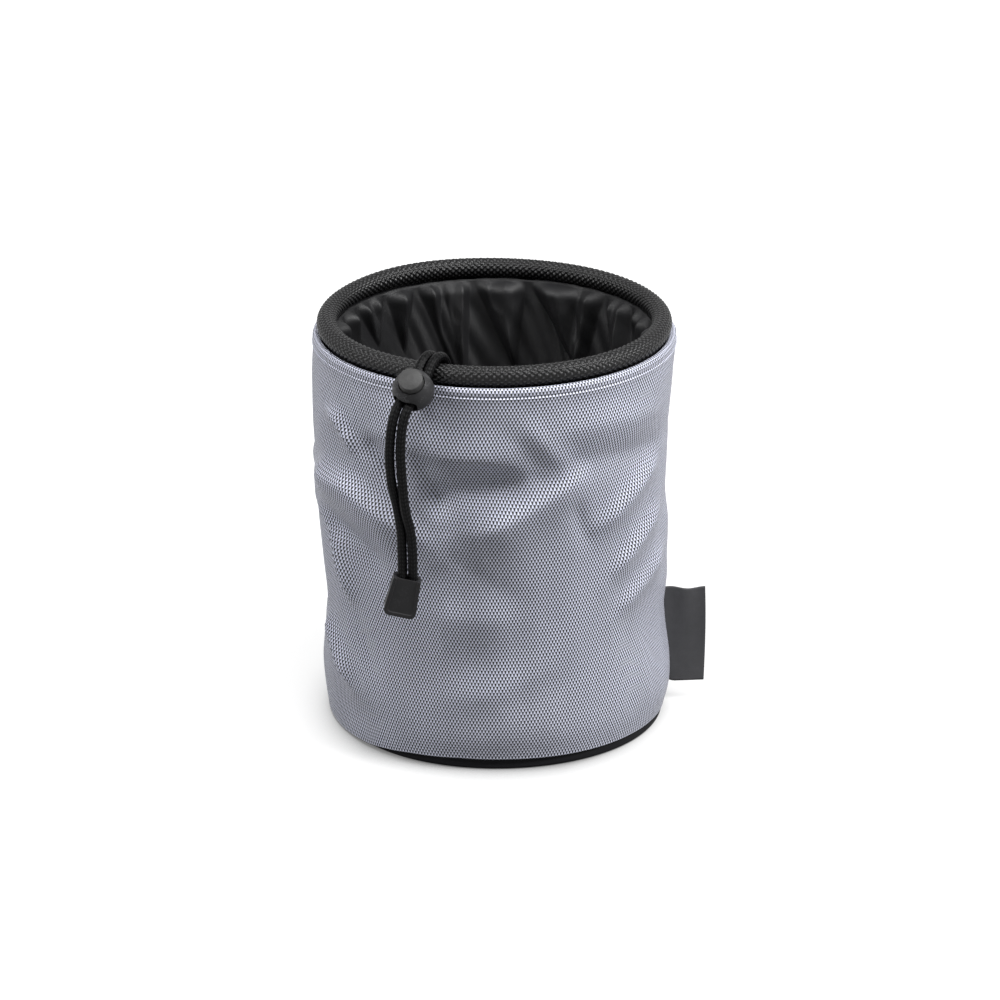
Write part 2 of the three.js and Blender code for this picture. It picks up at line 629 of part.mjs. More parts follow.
add(pegBag, 'outer_shell', outerShell(), GREY_WEAVE);
add(pegBag, 'base_panel', basePanel(), BLACK_CLOTH);
add(pegBag, 'base_stiffener', disc(BASE_RADIUS - BASE_CORNER, STIFFENER_BOTTOM, STIFFENER_THICKNESS), BOARD);
add(pegBag, 'lining_wall', liningWall(), BLACK_SATIN);
add(
  pegBag,
  'lining_floor',
  disc(LINING_FOOT_RADIUS - LINING_THICKNESS - FIT, LINING_BOTTOM, LINING_THICKNESS),
  BLACK_SATIN,
);
add(pegBag, 'rim_rope', rimRope(), BLACK_BRAID);
add(pegBag, 'rim_hoop', rimHoop(), BOARD);
add(pegBag, 'collar', collar(), BLACK_SATIN);
add(pegBag, 'collar_channel', collarChannel(), BLACK_SATIN);
add(pegBag, 'drawcord_ring', drawcordRing(), BLACK_BRAID);
add(pegBag, 'drawcord_left_tail', drawcordTail(LEFT_TAIL), BLACK_BRAID);
add(pegBag, 'drawcord_right_tail', drawcordTail(RIGHT_TAIL), BLACK_BRAID);

const cordLock = new THREE.Group();
const lockUp = BUTTON_AIM.clone().normalize();
const lockAcross = new THREE.Vector3().crossVectors(lockUp, CORD_AIM).normalize();
const lockBack = new THREE.Vector3().crossVectors(lockUp, lockAcross);
cordLock.quaternion.setFromRotationMatrix(new THREE.Matrix4().makeBasis(lockAcross, lockBack, lockUp));
cordLock.position.set(LOCK_REACH * Math.sin(LOCK_AT), -LOCK_REACH * Math.cos(LOCK_AT), LOCK_HEIGHT);
add(cordLock, 'cord_lock_body', lockBody(), BLACK_PLASTIC);
add(cordLock, 'cord_lock_button', lockButton(), BLACK_PLASTIC);
add(cordLock, 'cord_lock_spring', lockSpring(), WIRE);
pegBag.add(cordLock);

const cordEnd = new THREE.Group();
cordEnd.position.copy(END_TOP);
cordEnd.rotation.y = END_TILT;
add(cordEnd, 'cord_end_front', endFront(), BLACK_PLASTIC).rotation.x = Math.PI / 2;
add(cordEnd, 'cord_end_back', endBack(), BLACK_PLASTIC).rotation.x = Math.PI / 2;
pegBag.add(cordEnd);

add(pegBag, 'side_label', sideLabel(), LABEL_TAPE).rotation.z = LABEL_BEHIND;

export default pegBag;
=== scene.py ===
"""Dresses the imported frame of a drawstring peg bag: cloth, braid, cords, fittings and a plain studio.

Every piece is in metres in the frame's own axes, +Z up and the front towards -Y. A place round the bag is
an angle from the front, positive towards +X.
"""

import json
import math
from collections import namedtuple

import bmesh
import bpy
import numpy as np
from bpy.props import FloatProperty, FloatVectorProperty, IntProperty, PointerProperty
from mathutils import Matrix, Vector


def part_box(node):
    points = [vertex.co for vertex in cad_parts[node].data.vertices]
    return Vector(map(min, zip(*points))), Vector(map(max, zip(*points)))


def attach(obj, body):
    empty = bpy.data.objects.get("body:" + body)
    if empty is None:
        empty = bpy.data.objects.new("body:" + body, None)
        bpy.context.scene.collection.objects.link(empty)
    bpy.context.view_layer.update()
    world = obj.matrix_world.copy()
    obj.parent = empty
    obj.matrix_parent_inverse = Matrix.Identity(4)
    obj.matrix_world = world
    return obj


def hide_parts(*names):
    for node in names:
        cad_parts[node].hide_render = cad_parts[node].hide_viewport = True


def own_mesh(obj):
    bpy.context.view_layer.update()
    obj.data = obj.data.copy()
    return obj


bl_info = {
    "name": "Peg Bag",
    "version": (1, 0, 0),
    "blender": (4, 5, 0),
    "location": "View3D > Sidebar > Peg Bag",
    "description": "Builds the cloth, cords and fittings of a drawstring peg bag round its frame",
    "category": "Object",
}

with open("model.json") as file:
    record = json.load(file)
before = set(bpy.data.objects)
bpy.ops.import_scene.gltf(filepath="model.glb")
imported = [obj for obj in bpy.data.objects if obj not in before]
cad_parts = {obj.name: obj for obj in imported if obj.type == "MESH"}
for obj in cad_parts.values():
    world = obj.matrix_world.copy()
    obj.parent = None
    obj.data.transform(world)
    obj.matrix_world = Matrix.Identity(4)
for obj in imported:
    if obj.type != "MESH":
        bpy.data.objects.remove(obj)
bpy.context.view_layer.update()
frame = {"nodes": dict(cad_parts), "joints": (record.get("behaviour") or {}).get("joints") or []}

MM = 0.001
TINY = 0.001 * MM
TURN = 2 * math.pi


# Measures taken from the frame

def node_points(node):
    """The corners of a CAD node, one row each."""
    mesh = frame["nodes"][node].data
    points = np.empty(len(mesh.vertices) * 3)
    mesh.vertices.foreach_get("co", points)
    return points.reshape(-1, 3)


def node_top(node):
    """The radius and height of a round node's highest corner."""
    points = node_points(node)
    x, y, z = points[points[:, 2].argmax()]
    return math.hypot(x, y), z


def widest(node, above):
    """The widest radius of a round node's corners above a height."""
    points = node_points(node)
    points = points[points[:, 2] > above]
    return np.hypot(points[:, 0], points[:, 1]).max()


ROPE_RING, ROPE_TOP = node_top("rim_rope")
LIP_ROLL, LIP_TOP = node_top("outer_shell")
MOUTH_RADIUS = widest("outer_shell", LIP_TOP - 3 * MM)
HEM_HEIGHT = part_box("outer_shell")[0].z
WELT_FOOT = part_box("rim_rope")[0].z
BASE_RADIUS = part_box("base_panel")[1].y
FLANGE_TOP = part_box("base_panel")[1].z
LINING_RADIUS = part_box("lining_wall")[1].y
LINING_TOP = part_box("lining_wall")[1].z
FLOOR_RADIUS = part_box("lining_floor")[1].y
FLOOR_LOW, FLOOR_HIGH = (corner.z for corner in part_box("lining_floor"))
COLLAR_FOOT, COLLAR_TOP = (corner.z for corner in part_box("collar"))
CHANNEL_LOW, CHANNEL_HIGH = (corner.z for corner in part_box("collar_channel"))
CHANNEL_HEIGHT = (CHANNEL_LOW + CHANNEL_HIGH) / 2
CHANNEL_SECTION = (CHANNEL_HIGH - CHANNEL_LOW) / 2
CHANNEL_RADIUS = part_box("collar_channel")[1].y - CHANNEL_SECTION
LABEL_LOW, LABEL_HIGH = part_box("side_label")
JOINTS = {joint["name"]: joint for joint in frame["joints"]}

# Places that the frame doesn't give
LOCK_CENTRE = Vector((-36.69, -84.59, 185.7)) * MM
CORD_AIM = Vector((-0.47, -0.62, -0.63))
CORD_END_TOP = Vector((-39.6, -93.4, 100.5)) * MM
CORD_END_TILT = math.radians(12.7)
CHANNEL_MOUTH = math.radians(-8.4)
CHANNEL_MOUTH_HALF = math.radians(19.5)
SIDE_SEAM = math.radians(93.5)

# The button's rounded edge, and the steps of its crown: how far in and how far up
BUTTON_ROUND = 0.7 * MM
BUTTON_CROWN = ((1.4 * MM, 0.3 * MM), (1.6 * MM, 0.2 * MM))

# The cord lock's inside: the button under its slot, the gap under the pressed button, how deep the spring
# sits in the ball and in the button, the room round it, and its still end under the bore
BUTTON_WEB = 1.5 * MM
BUTTON_GAP = 0.3 * MM
BALL_SEAT = 1.4 * MM
BUTTON_SEAT = 1 * MM
SPRING_ROOM = 0.6 * MM
SPRING_TURNS = 3

# The cord end: half the split between its halves, its bore and corners, and the sunken panel on its front
CORD_END_SPLIT = 0.15 * MM
CORD_END_BORE = 22 * MM
CORD_END_ROUND = 3 * MM
PANEL_MARGIN = 1.7 * MM
PANEL_DEPTH = 0.7 * MM
PANEL_ROUND = 1.6 * MM
PANEL_SLOPE = math.radians(1.2)

# The lip: how much of the frame's roll it takes, its pressed line and the foot of its inner ply
LIP_SHARE = 0.75
LIP_LINE_DROP = 4.6 * MM
LIP_INNER_PLY = 9 * MM

# The roll of the hem, the base's rounded corner and half the welt
HEM_ROLL = 0.5 * MM
BASE_CORNER = 1.5 * MM
WELT_HALF = 1.1 * MM

# How much more than the shell the base and the lining are drawn in at the lower left corner
BASE_TUCK = 0.2 * MM
LINING_TUCK = 0.5 * MM

# The collar: how far it goes up behind the rope and stays inside the lining, its creases and its puckers
COLLAR_RISE = 1.6 * MM
COLLAR_INSET = 2.6 * MM
CREASE_WIDTH = 5 * MM
PUCKER_DEPTH = 0.26 * MM

# The label: half the gap in its fold, and how far in it is sewn
LABEL_GAP = 0.28 * MM
LABEL_TUCK = 5.4 * MM

# How many points of the mesh go to one stitch of a braid
ROPE_SAMPLES = 7
CORD_SAMPLES = 4

# Where the wall is drawn in or stands out: degrees round and their spread, mm up and their spread
Place = namedtuple("Place", "angle angle_spread height height_spread")
LEFT_BELLY = Place(-58, 22, 16, 8)
RIGHT_BELLY = Place(84, 17, 22, 15)
BEHIND_BALL = Place(-24, 9, 183, 8)

# The shell's round outline before its folds, from the hem to the lip: radius and height in mm
WALL = ((78.2, 5), (79.9, 17), (77.8, 55), (80.3, 120), (82.8, 182.4))

# The hem's height round the bag, in degrees and mm: it sags at the left and lifts a little at the front
HEM = (
    (-180, 5.0), (-120, 3.6), (-90, 2.2), (-65, 1.4), (-48, 2.0), (-30, 4.6), (-12, 5.9), (5, 5.8), (25, 5.3),
    (65, 4.8), (90, 4.4), (120, 5.0), (180, 5.0),
)

# Where the collar is pinched under the rope: degrees round, degrees that its crease slants on the way down,
# its depth as a share of the puffs, how fast the hollow under it spreads, and down to what mm it does so
Pinch = namedtuple("Pinch", "at slant depth spread reach")
PINCHES = (
    # The back, as it shows over the front of the rim
    Pinch(100, -4, 0.9, 0.3, 40), Pinch(109, 5, 0.7, 0.1, 30), Pinch(118.6, -10, 1.0, 0.25, 50),
    Pinch(126, 4, 0.5, 0.1, 12), Pinch(134.3, 0, 1.0, 0.3, 58), Pinch(145, 6, 0.5, 0.05, 14),
    Pinch(167.9, -12, 1.0, 0.42, 58), Pinch(181, 5, 0.4, 0.1, 14), Pinch(188.5, -8, 0.9, 0.3, 40),
    Pinch(195.3, 8, 0.6, 0.1, 16), Pinch(200.8, -4, 0.7, 0.12, 26), Pinch(210.7, -3, 1.0, 0.34, 58),
    Pinch(224.9, 0, 1.0, 0.32, 58), Pinch(234.1, -10, 0.8, 0.12, 16), Pinch(242.6, -14, 1.0, 0.3, 40),
    Pinch(254, -8, 0.9, 0.2, 50),
    # The sides and the front
    Pinch(266, -4, 0.9, 0.3, 58), Pinch(277, 6, 0.7, 0.15, 30), Pinch(289, -8, 0.9, 0.3, 50),
    Pinch(301, 5, 0.8, 0.2, 40), Pinch(310, -3, 0.8, 0.15, 30), Pinch(318, 5, 1.0, 0.3, 58),
    Pinch(327, -4, 1.0, 0.2, 40), Pinch(336, 3, 1.0, 0.3, 58), Pinch(345, 4, 0.9, 0.2, 50),
    Pinch(354, -5, 1.0, 0.3, 58), Pinch(9, 6, 0.9, 0.2, 40), Pinch(20, -5, 0.8, 0.3, 58),
    Pinch(33, 8, 0.9, 0.15, 30), Pinch(44, -4, 1.0, 0.3, 58), Pinch(56, 6, 0.7, 0.15, 26),
    Pinch(67, -8, 0.9, 0.3, 50), Pinch(79, 5, 0.8, 0.2, 40), Pinch(89, -3, 0.7, 0.1, 20),
)

# The two cord tails, in mm, from the channel's mouth over the rim and through the lock to the cord end
LEFT_TAIL = (
    (-30.6, -58.5, 127.6), (-28.0, -59.5, 127.6), (-24.9, -60.2, 128.0), (-21.7, -60.4, 129.4),
    (-19.1, -60.4, 131.9), (-17.4, -60.2, 135.4), (-16.7, -59.9, 140.0), (-18.4, -59.6, 156.0),
    (-22.5, -59.6, 172.0), (-25.2, -60.2, 182.0), (-26.3, -61.0, 187.4), (-26.9, -62.1, 191.2),
    (-27.9, -64.1, 194.1), (-29.2, -66.8, 195.8), (-30.7, -69.8, 196.4), (-32.1, -72.8, 195.8),
    (-33.4, -75.4, 194.2), (-35.1, -78.8, 191.2), (-38.8, -83.6, 186.3), (-42.3, -88.3, 181.6),
    (-44.3, -90.9, 178.3), (-45.7, -92.8, 173.8), (-46.6, -94.0, 168.0), (-47.1, -94.4, 160.6),
    (-47.0, -94.3, 152.5), (-46.0, -94.0, 143.5), (-44.1, -92.7, 134.0), (-42.3, -93.0, 122.5),
    (-41.9, -93.2, 112.0), (-41.8, -93.2, 105.6), (-41.9, -93.4, 101.0), (-43.9, -93.4, 92.2),
)
RIGHT_TAIL = (
    (12.4, -64.8, 127.6), (9.6, -65.2, 127.6), (6.4, -64.9, 127.6), (2.7, -63.9, 128.0),
    (-1.5, -62.8, 129.4), (-5.2, -61.8, 132.6), (-8.2, -61.0, 137.5), (-10.2, -60.8, 144.0),
    (-13.6, -61.2, 156.0), (-17.6, -61.4, 172.0), (-20.5, -62.3, 182.0), (-21.7, -63.2, 187.6),
    (-22.3, -64.2, 191.2), (-23.3, -66.1, 194.0), (-24.6, -68.6, 195.7), (-26.1, -71.5, 196.3),
    (-27.6, -74.5, 195.7), (-29.0, -77.1, 194.0), (-31.0, -80.8, 190.2), (-34.6, -85.6, 185.1),
    (-38.2, -90.2, 180.4), (-40.1, -92.7, 177.2), (-41.3, -94.4, 172.8), (-42.0, -95.6, 167.2),
    (-42.3, -96.1, 160.0), (-42.0, -95.9, 152.3), (-41.4, -95.8, 143.5), (-40.4, -96.1, 134.0),
    (-38.1, -94.9, 122.5), (-37.3, -94.6, 112.6), (-37.2, -94.3, 105.6), (-37.3, -93.4, 100.4),
    (-39.3, -93.4, 91.2),
)

# The folds of the outer cloth. A route runs through (degrees round, mm up). A fold has a half width in mm on
# the left of its route and one on the right, and a rise in mm, negative where it is a hollow.
Fold = namedtuple("Fold", "route left right rise")
FOLDS = (
    # The bulge across the middle of the front, its dark underside, and the ridge that runs up to the right
    Fold(((-46, 158), (-34, 158), (-24, 155), (-14, 152), (-4, 152), (4, 150), (11, 146)), 14, 4, 3.0),
    Fold(((-22, 122), (-18, 130), (-10, 135), (-2, 137), (6, 139), (13, 142)), 9, 8, -4.0),
    Fold(((-27, 157), (-23, 149), (-20, 138), (-17, 127), (-14, 118)), 6, 4, -2.0),
    Fold(((-11, 115), (-3, 116), (4, 120), (13, 127), (21, 133), (30, 140), (36, 145)), 5, 13, 2.8),
    Fold(((8, 172), (13, 163), (20, 152), (27, 143)), 5, 6, 1.2),
    Fold(((2, 167), (9, 157), (16, 147), (22, 140)), 5, 5, -0.5),
    # The left front, behind the cords
    Fold(((-82, 119), (-66, 127), (-53, 128), (-39, 121), (-29, 115), (-19, 106)), 6, 14, 5.0),
    Fold(((-78, 98), (-64, 103), (-52, 101), (-42, 95), (-34, 88)), 9, 8, -3.4),
    Fold(((-66, 158), (-57, 158), (-51, 151), (-48, 142)), 3.5, 4, 2.8),
    Fold(((-46, 154), (-41, 149), (-36, 141), (-30, 138)), 5, 5, -3.2),
    Fold(((-80, 108), (-68, 102), (-61, 93), (-57, 78), (-54, 62)), 7, 3, 4.0),
    Fold(((-78, 56), (-67, 44), (-60, 34), (-55, 26)), 6, 3.5, 3.4),
    Fold(((-58, 78), (-51, 55), (-43, 33)), 5, 5, -1.1),
    Fold(((-104, 66), (-92, 60), (-80, 54)), 9, 7, -4.0),
    # The right front
    Fold(((16, 160), (27, 163), (40, 163), (55, 161), (70, 157)), 8, 11, 2.1),
    Fold(((22, 148), (40, 146), (58, 143), (76, 139)), 6, 8, -1.6),
    Fold(((33, 111), (41, 116), (50, 124), (60, 131), (72, 137)), 5, 7, 2.8),
    Fold(((27, 131), (30, 117), (35, 102)), 3.5, 4.5, -1.1),
    Fold(((40, 84), (46, 91), (54, 99), (62, 105), (74, 111)), 4.5, 7, 2.8),
    Fold(((43, 64), (49, 71), (57, 76), (66, 81), (80, 86)), 4.5, 7, 2.4),
    Fold(((82, 112), (88, 86), (92, 50)), 14, 14, 1.9),
    # The lower front
    Fold(((-27, 84), (-19, 93), (-11, 100), (0, 90), (14, 79)), 5, 7, -0.45),
    Fold(((-26, 74), (-14, 73), (0, 73), (12, 71)), 9, 15, 1.4),
    Fold(((-24, 32), (0, 39), (20, 50), (34, 70)), 10, 8, 1.1),
    # The right side and the back
    Fold(((98, 150), (126, 159), (150, 153)), 8, 5, 3.0),
    Fold(((108, 134), (138, 140), (166, 132)), 6, 7, -2.6),
    Fold(((138, 113), (172, 122), (204, 116)), 7, 5, 3.0),
    Fold(((180, 151), (206, 161), (238, 155)), 9, 5, 3.2),
    Fold(((194, 140), (222, 133), (254, 141)), 6, 7, -2.6),
    Fold(((222, 117), (246, 125), (270, 118)), 7, 5, 2.6),
    Fold(((124, 97), (150, 102), (170, 90)), 7, 8, -1.6),
    Fold(((176, 96), (200, 85), (216, 66)), 5, 5, 1.6),
    Fold(((99, 106), (112, 85), (119, 60)), 4, 4, 1.8),
    Fold(((252, 98), (260, 74), (265, 46)), 3.5, 4, 1.6),
    Fold(((148, 60), (175, 52), (202, 57)), 8, 8, -0.9),
)


# Sizes and colours that a user would change

def length(name, description, default):
    return FloatProperty(name=name, description=description, default=default, unit="LENGTH", precision=4)


def number(name, description, default):
    return IntProperty(name=name, description=description, default=default, min=1)


def power(name, description, default):
    return FloatProperty(name=name, description=description, default=default, min=0, unit="POWER")


def colour(name, description, default):
    return FloatVectorProperty(
        name=name, description=description, default=default, subtype="COLOR", size=3, min=0, max=1
    )


class PEGBAG_PG_cloth(bpy.types.PropertyGroup):
    """Sizes of the cloth pieces."""

    shell_thickness: length("Shell thickness", "Thickness of the outer cloth", 0.9 * MM)
    lean: length("Lean", "How far the wall leans to the left at its middle", 2.6 * MM)
    fold_scale: FloatProperty(name="Folds", description="Depth of the folds", default=1.3, min=0, max=2)
    lip_line: length("Lip line", "Height of the pressed line under the lip", 0.3 * MM)
    warp_pitch: length("Warp pitch", "Width of one upright yarn of the grey weave", 0.8 * MM)
    weft_pitch: length("Weft pitch", "Height of one level yarn of the grey weave", 1.44 * MM)
    lining_thickness: length("Lining thickness", "Thickness of the lining and the collar", 0.4 * MM)
    base_thickness: length("Base thickness", "Thickness of the base cloth", 0.5 * MM)
    rim_shift: length("Rim shift", "How far the rim sits to the left", 1 * MM)
    rim_lift: length("Rim lift", "How far the rope rises at the back", 0.8 * MM)
    corner_tuck: length("Corner tuck", "How far the lower left corner is drawn in", 1.5 * MM)
    belly_tuck: length("Belly tuck", "How far the belly over that corner is drawn in", 2.2 * MM)
    flange_lean: length("Flange lean", "How far the base's turned-up edge leans in", 0.75 * MM)
    flange_waver: length("Flange waver", "How unevenly that edge stands", 0.15 * MM)
    ball_dent: length("Ball dent", "How far the lip gives way behind the cord lock", 1.2 * MM)
    clearance: length("Clearance", "Gap between the outer cloth's hollows and the lining", 1.7 * MM)
    side_belly: length("Side belly", "How far the lower right side stands out", 1.8 * MM)
    puff_depth: length("Puff depth", "Depth of the collar's puffs under the rope", 7 * MM)
    puff_lift: length("Puff lift", "How far the puffs stand up at their tops", 2.3 * MM)
    slack_depth: length("Slack depth", "Depth of the collar's wide waves", 0.7 * MM)
    crumple_depth: length("Crumple depth", "Depth of the collar's small creases", 0.8 * MM)
    gathers: number("Gathers", "Small gathers at the collar's drawn edge", 64)
    gather_depth: length("Gather depth", "Depth of the small gathers", 0.5 * MM)
    label_thickness: length("Label thickness", "Thickness of one ply of the label", 0.35 * MM)


class PEGBAG_PG_braid(bpy.types.PropertyGroup):
    """Sizes of the rope round the rim and of the drawcord."""

    rope_radius: length("Rope radius", "Radius of the rope round the rim", 4.75 * MM)
    rope_columns: number("Rope columns", "Crossings of the strands round the rim", 150)
    rope_stitches: number("Rope stitches", "Crossings of the strands round the rope", 12)
    rope_relief: length("Rope relief", "Depth of the rope's braid", 0.6 * MM)
    cord_radius: length("Cord radius", "Radius of the drawcord", 2.2 * MM)
    cord_columns: number("Cord columns", "Columns of stitches round the cord", 12)
    cord_pitch: length("Cord pitch", "Length of one stitch of the cord", 1.85 * MM)
    cord_relief: length("Cord relief", "Depth of the cord's braid", 0.24 * MM)


class PEGBAG_PG_fittings(bpy.types.PropertyGroup):
    """Sizes of the cord lock and the cord end."""

    ball_radius: length("Ball radius", "Radius of the cord lock", 9.35 * MM)
    button_radius: length("Button radius", "Radius of the lock's button", 5.5 * MM)
    button_top: length("Button top", "Height of the button's face over the ball's centre", 11.2 * MM)
    button_play: length("Button play", "Gap round the button", 0.4 * MM)
    button_travel: length("Button travel", "How far the button goes in", 2.5 * MM)
    slot_half_width: length("Slot half width", "Half the width of the cords' slot", 4.95 * MM)
    slot_half_height: length("Slot half height", "Half the height of the cords' slot", 2.6 * MM)
    mouth_room: length("Mouth room", "How much wider the ball's own slot is", 0.95 * MM)
    wire_radius: length("Wire radius", "Radius of the spring's wire", 0.3 * MM)
    spring_radius: length("Spring radius", "Radius of the spring's coils", 2.7 * MM)
    end_length: length("Cord end length", "Length of the cord end", 18 * MM)
    end_top_width: length("Cord end top width", "Width of the cord end at its top", 12.4 * MM)
    end_bottom_width: length("Cord end bottom width", "Width of the cord end at its foot", 15 * MM)
    end_half_depth: length("Cord end half depth", "Depth of one half of the cord end", 4 * MM)


class PEGBAG_PG_finishes(bpy.types.PropertyGroup):
    """Colours of the materials."""

    light_yarn: colour("Light yarn", "Upright yarns of the grey weave", (0.62, 0.64, 0.76))
    dark_yarn: colour("Dark yarn", "Level yarns of the grey weave", (0.008, 0.008, 0.011))
    satin: colour("Satin", "Lining and collar", (0.008, 0.008, 0.0086))
    # The rope's and the cord's colours are their crowns' painted highlight; braided_yarn paints the hollows
    # at a tenth of them as painted shade
    rope: colour("Rope", "Crowns of the rope's braid", (0.045, 0.045, 0.047))
    cord: colour("Cord", "Crowns of the cord's braid", (0.015, 0.015, 0.0161))
    base: colour("Base", "Base cloth", (0.006, 0.006, 0.007))
    ball: colour("Ball", "The cord lock's ball", (0.025, 0.025, 0.0262))
    cord_end: colour("Cord end", "The cord end", (0.014, 0.014, 0.0148))
    # The button's colour is the ball's plastic made lighter: painted light on its up-facing face
    button: colour("Button", "The lock's button, rubbed by fingers", (0.04, 0.04, 0.04))
    label: colour("Label", "Side label", (0.085, 0.085, 0.09))
    board: colour("Board", "Hoop and base stiffener", (0.05, 0.05, 0.052))
    steel: colour("Steel", "Lock spring", (0.62, 0.63, 0.65))


class PEGBAG_PG_stage(bpy.types.PropertyGroup):
    """Camera and light."""

    camera_distance: length("Camera distance", "From the camera to its target", 2.5)
    camera_pitch: FloatProperty(
        name="Camera pitch",
        description="How far the camera looks down",
        default=math.radians(20.83),
        subtype="ANGLE",
    )
    camera_lens: FloatProperty(name="Lens", description="Focal length in mm", default=195.4, min=10)
    target: FloatVectorProperty(
        name="Target",
        description="What the camera looks at",
        default=(0.00155, 0, 0.10172),
        subtype="TRANSLATION",
    )
    key_power: power("Key power", "Power of the light from the right", 59)
    fill_power: power("Fill power", "Power of the light from the left", 29)
    top_power: power("Top power", "Power of the light from above", 32)


# Meshes

def smoothstep(low, high, value):
    t = np.clip((value - low) / (high - low), 0, 1)
    return t * t * (3 - 2 * t)


def round_points(angle, radius, height):
    """Points at angles from the front, with x, y and z last."""
    return np.stack(np.broadcast_arrays(radius * np.sin(angle), -radius * np.cos(angle), height), axis=-1)


def angles_round(count):
    """Even angles once round the bag, from the front."""
    return np.arange(count) * TURN / count


def lap(count):
    """Shares of the way round, from 0 to 1 with both ends."""
    return np.arange(count + 1) / count


def run_along(radius, height):
    """How far each point of an outline lies from the first, along the outline."""
    return np.concatenate([[0], np.cumsum(np.hypot(np.diff(radius), np.diff(height)))])


def grid_piece(name, points, u, v, ring=True, closed=False):
    """A mesh over points[row, column]. ring joins the last column to the first, and closed the last row."""
    rows, columns = points.shape[:2]
    last_row = rows if closed else rows - 1
    last_column = columns if ring else columns - 1
    row, column = np.meshgrid(np.arange(last_row), np.arange(last_column), indexing="ij")
    corners = ((row, column), (row, column + 1), (row + 1, column + 1), (row + 1, column))
    faces = np.stack([r % rows * columns + c % columns for r, c in corners], axis=-1)
    places = np.stack([np.stack([u[c], v[r]], axis=-1) for r, c in corners], axis=2)
    mesh = bpy.data.meshes.new(name)
    mesh.from_pydata(points.reshape(-1, 3).tolist(), [], faces.reshape(-1, 4).tolist())
    mesh.uv_layers.new(name="cloth").uv.foreach_set("vector", places.astype(np.float32).ravel())
    mesh.polygons.foreach_set("use_smooth", np.ones(len(mesh.polygons), bool))
    piece = bpy.data.objects.new(name, mesh)
    bpy.context.collection.objects.link(piece)
    return piece


def add_relief(piece, relief):
    """Keeps the height of a braid's stitches on the mesh for its material."""
    layer = piece.data.attributes.new("relief", "FLOAT", "POINT")
    layer.data.foreach_set("value", relief.astype(np.float32).ravel())


def activate(piece):
    bpy.ops.object.select_all(action="DESELECT")
    piece.select_set(True)
    bpy.context.view_layer.objects.active = piece


def modify(piece, kind, **settings):
    """Adds a modifier and applies it."""
    modifier = piece.modifiers.new(kind.title(), kind)
    for name, value in settings.items():
        setattr(modifier, name, value)
    activate(piece)
    bpy.ops.object.modifier_apply(modifier=modifier.name)


def thicken(piece, thickness):
    """Gives a sheet its thickness, behind its face."""
    modify(piece, "SOLIDIFY", thickness=thickness, offset=-1, use_even_offset=True)


def merge_doubles(piece):
    """Merges corners that lie on one another, as at a closed end."""
    mesh = bmesh.new()
    mesh.from_mesh(piece.data)
    bmesh.ops.remove_doubles(mesh, verts=mesh.verts, dist=TINY)
    mesh.to_mesh(piece.data)
    mesh.free()


def primitive(kind, **settings):
    bpy.ops.object.select_all(action="DESELECT")
    getattr(bpy.ops.mesh, f"primitive_{kind}_add")(**settings)
    return bpy.context.object


def bevel_edges(piece, picked, offset, segments):
    """Rounds the edges that a test of their two ends picks."""
    bpy.ops.object.mode_set(mode="EDIT")
    shape = bmesh.from_edit_mesh(piece.data)
    for edge in shape.edges:
        edge.select = picked(*(vertex.co for vertex in edge.verts))
    bmesh.update_edit_mesh(piece.data)
    bpy.ops.mesh.bevel(offset=offset, segments=segments, affect="EDGES")
    bpy.ops.object.mode_set(mode="OBJECT")


def carve(piece, *tools):
    """Cuts tools out of a piece and removes them."""
    for tool in tools:
        modify(piece, "BOOLEAN", operation="DIFFERENCE", solver="EXACT", object=tool)
        bpy.data.objects.remove(tool)


def soften(piece, voxel, passes):
    """Rounds a moulded piece's edges a little."""
    modify(piece, "REMESH", mode="VOXEL", voxel_size=voxel)
    modify(piece, "SMOOTH", factor=0.5, iterations=passes)
    modify(piece, "DECIMATE", ratio=0.5)
    activate(piece)
    bpy.ops.object.shade_smooth()


def settle(piece, name, matrix):
    """Names a moulded piece and puts its place into its mesh."""
    piece.name = name
    piece.data.name = name
    piece.data.transform(matrix @ piece.matrix_world)
    piece.matrix_world = Matrix()


def dress(piece, material, body, slot, *nodes):
    """Gives a piece its material and body, and hides the CAD nodes that it stands for. The slot is not used.
    """
    piece.data.materials.clear()
    piece.data.materials.append(material)
    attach(piece, body)
    if nodes:
        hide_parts(*nodes)


# Braid and cords

def herringbone(column, stitch, slant):
    """Relief from 0 to 1 of a braid, in columns of stitches that slant one way and then the other."""
    index = np.floor(column)
    across = column - index
    leaning = np.where(index % 2 == 0, across, 1 - across)
    along = (stitch + slant * leaning) % 1
    crown = np.sqrt(np.clip(1 - (2 * along - 1) ** 2, 0, 1))
    edge_drop = 0.65
    return crown * (1 - edge_drop * (2 * across - 1) ** 4)


def diamond_braid(a, b):
    """Relief from 0 to 1 of strands that cross over and under, counted along their two slants."""
    across, along = a % 1, b % 1
    first_over = (np.floor(a) + np.floor(b)) % 2 == 0
    across, along = np.where(first_over, across, along), np.where(first_over, along, across)
    crown = np.sqrt(np.clip(1 - (2 * across - 1) ** 2, 0, 1))
    dive = 0.9
    return crown * (1 - dive + dive * np.sin(math.pi * along))


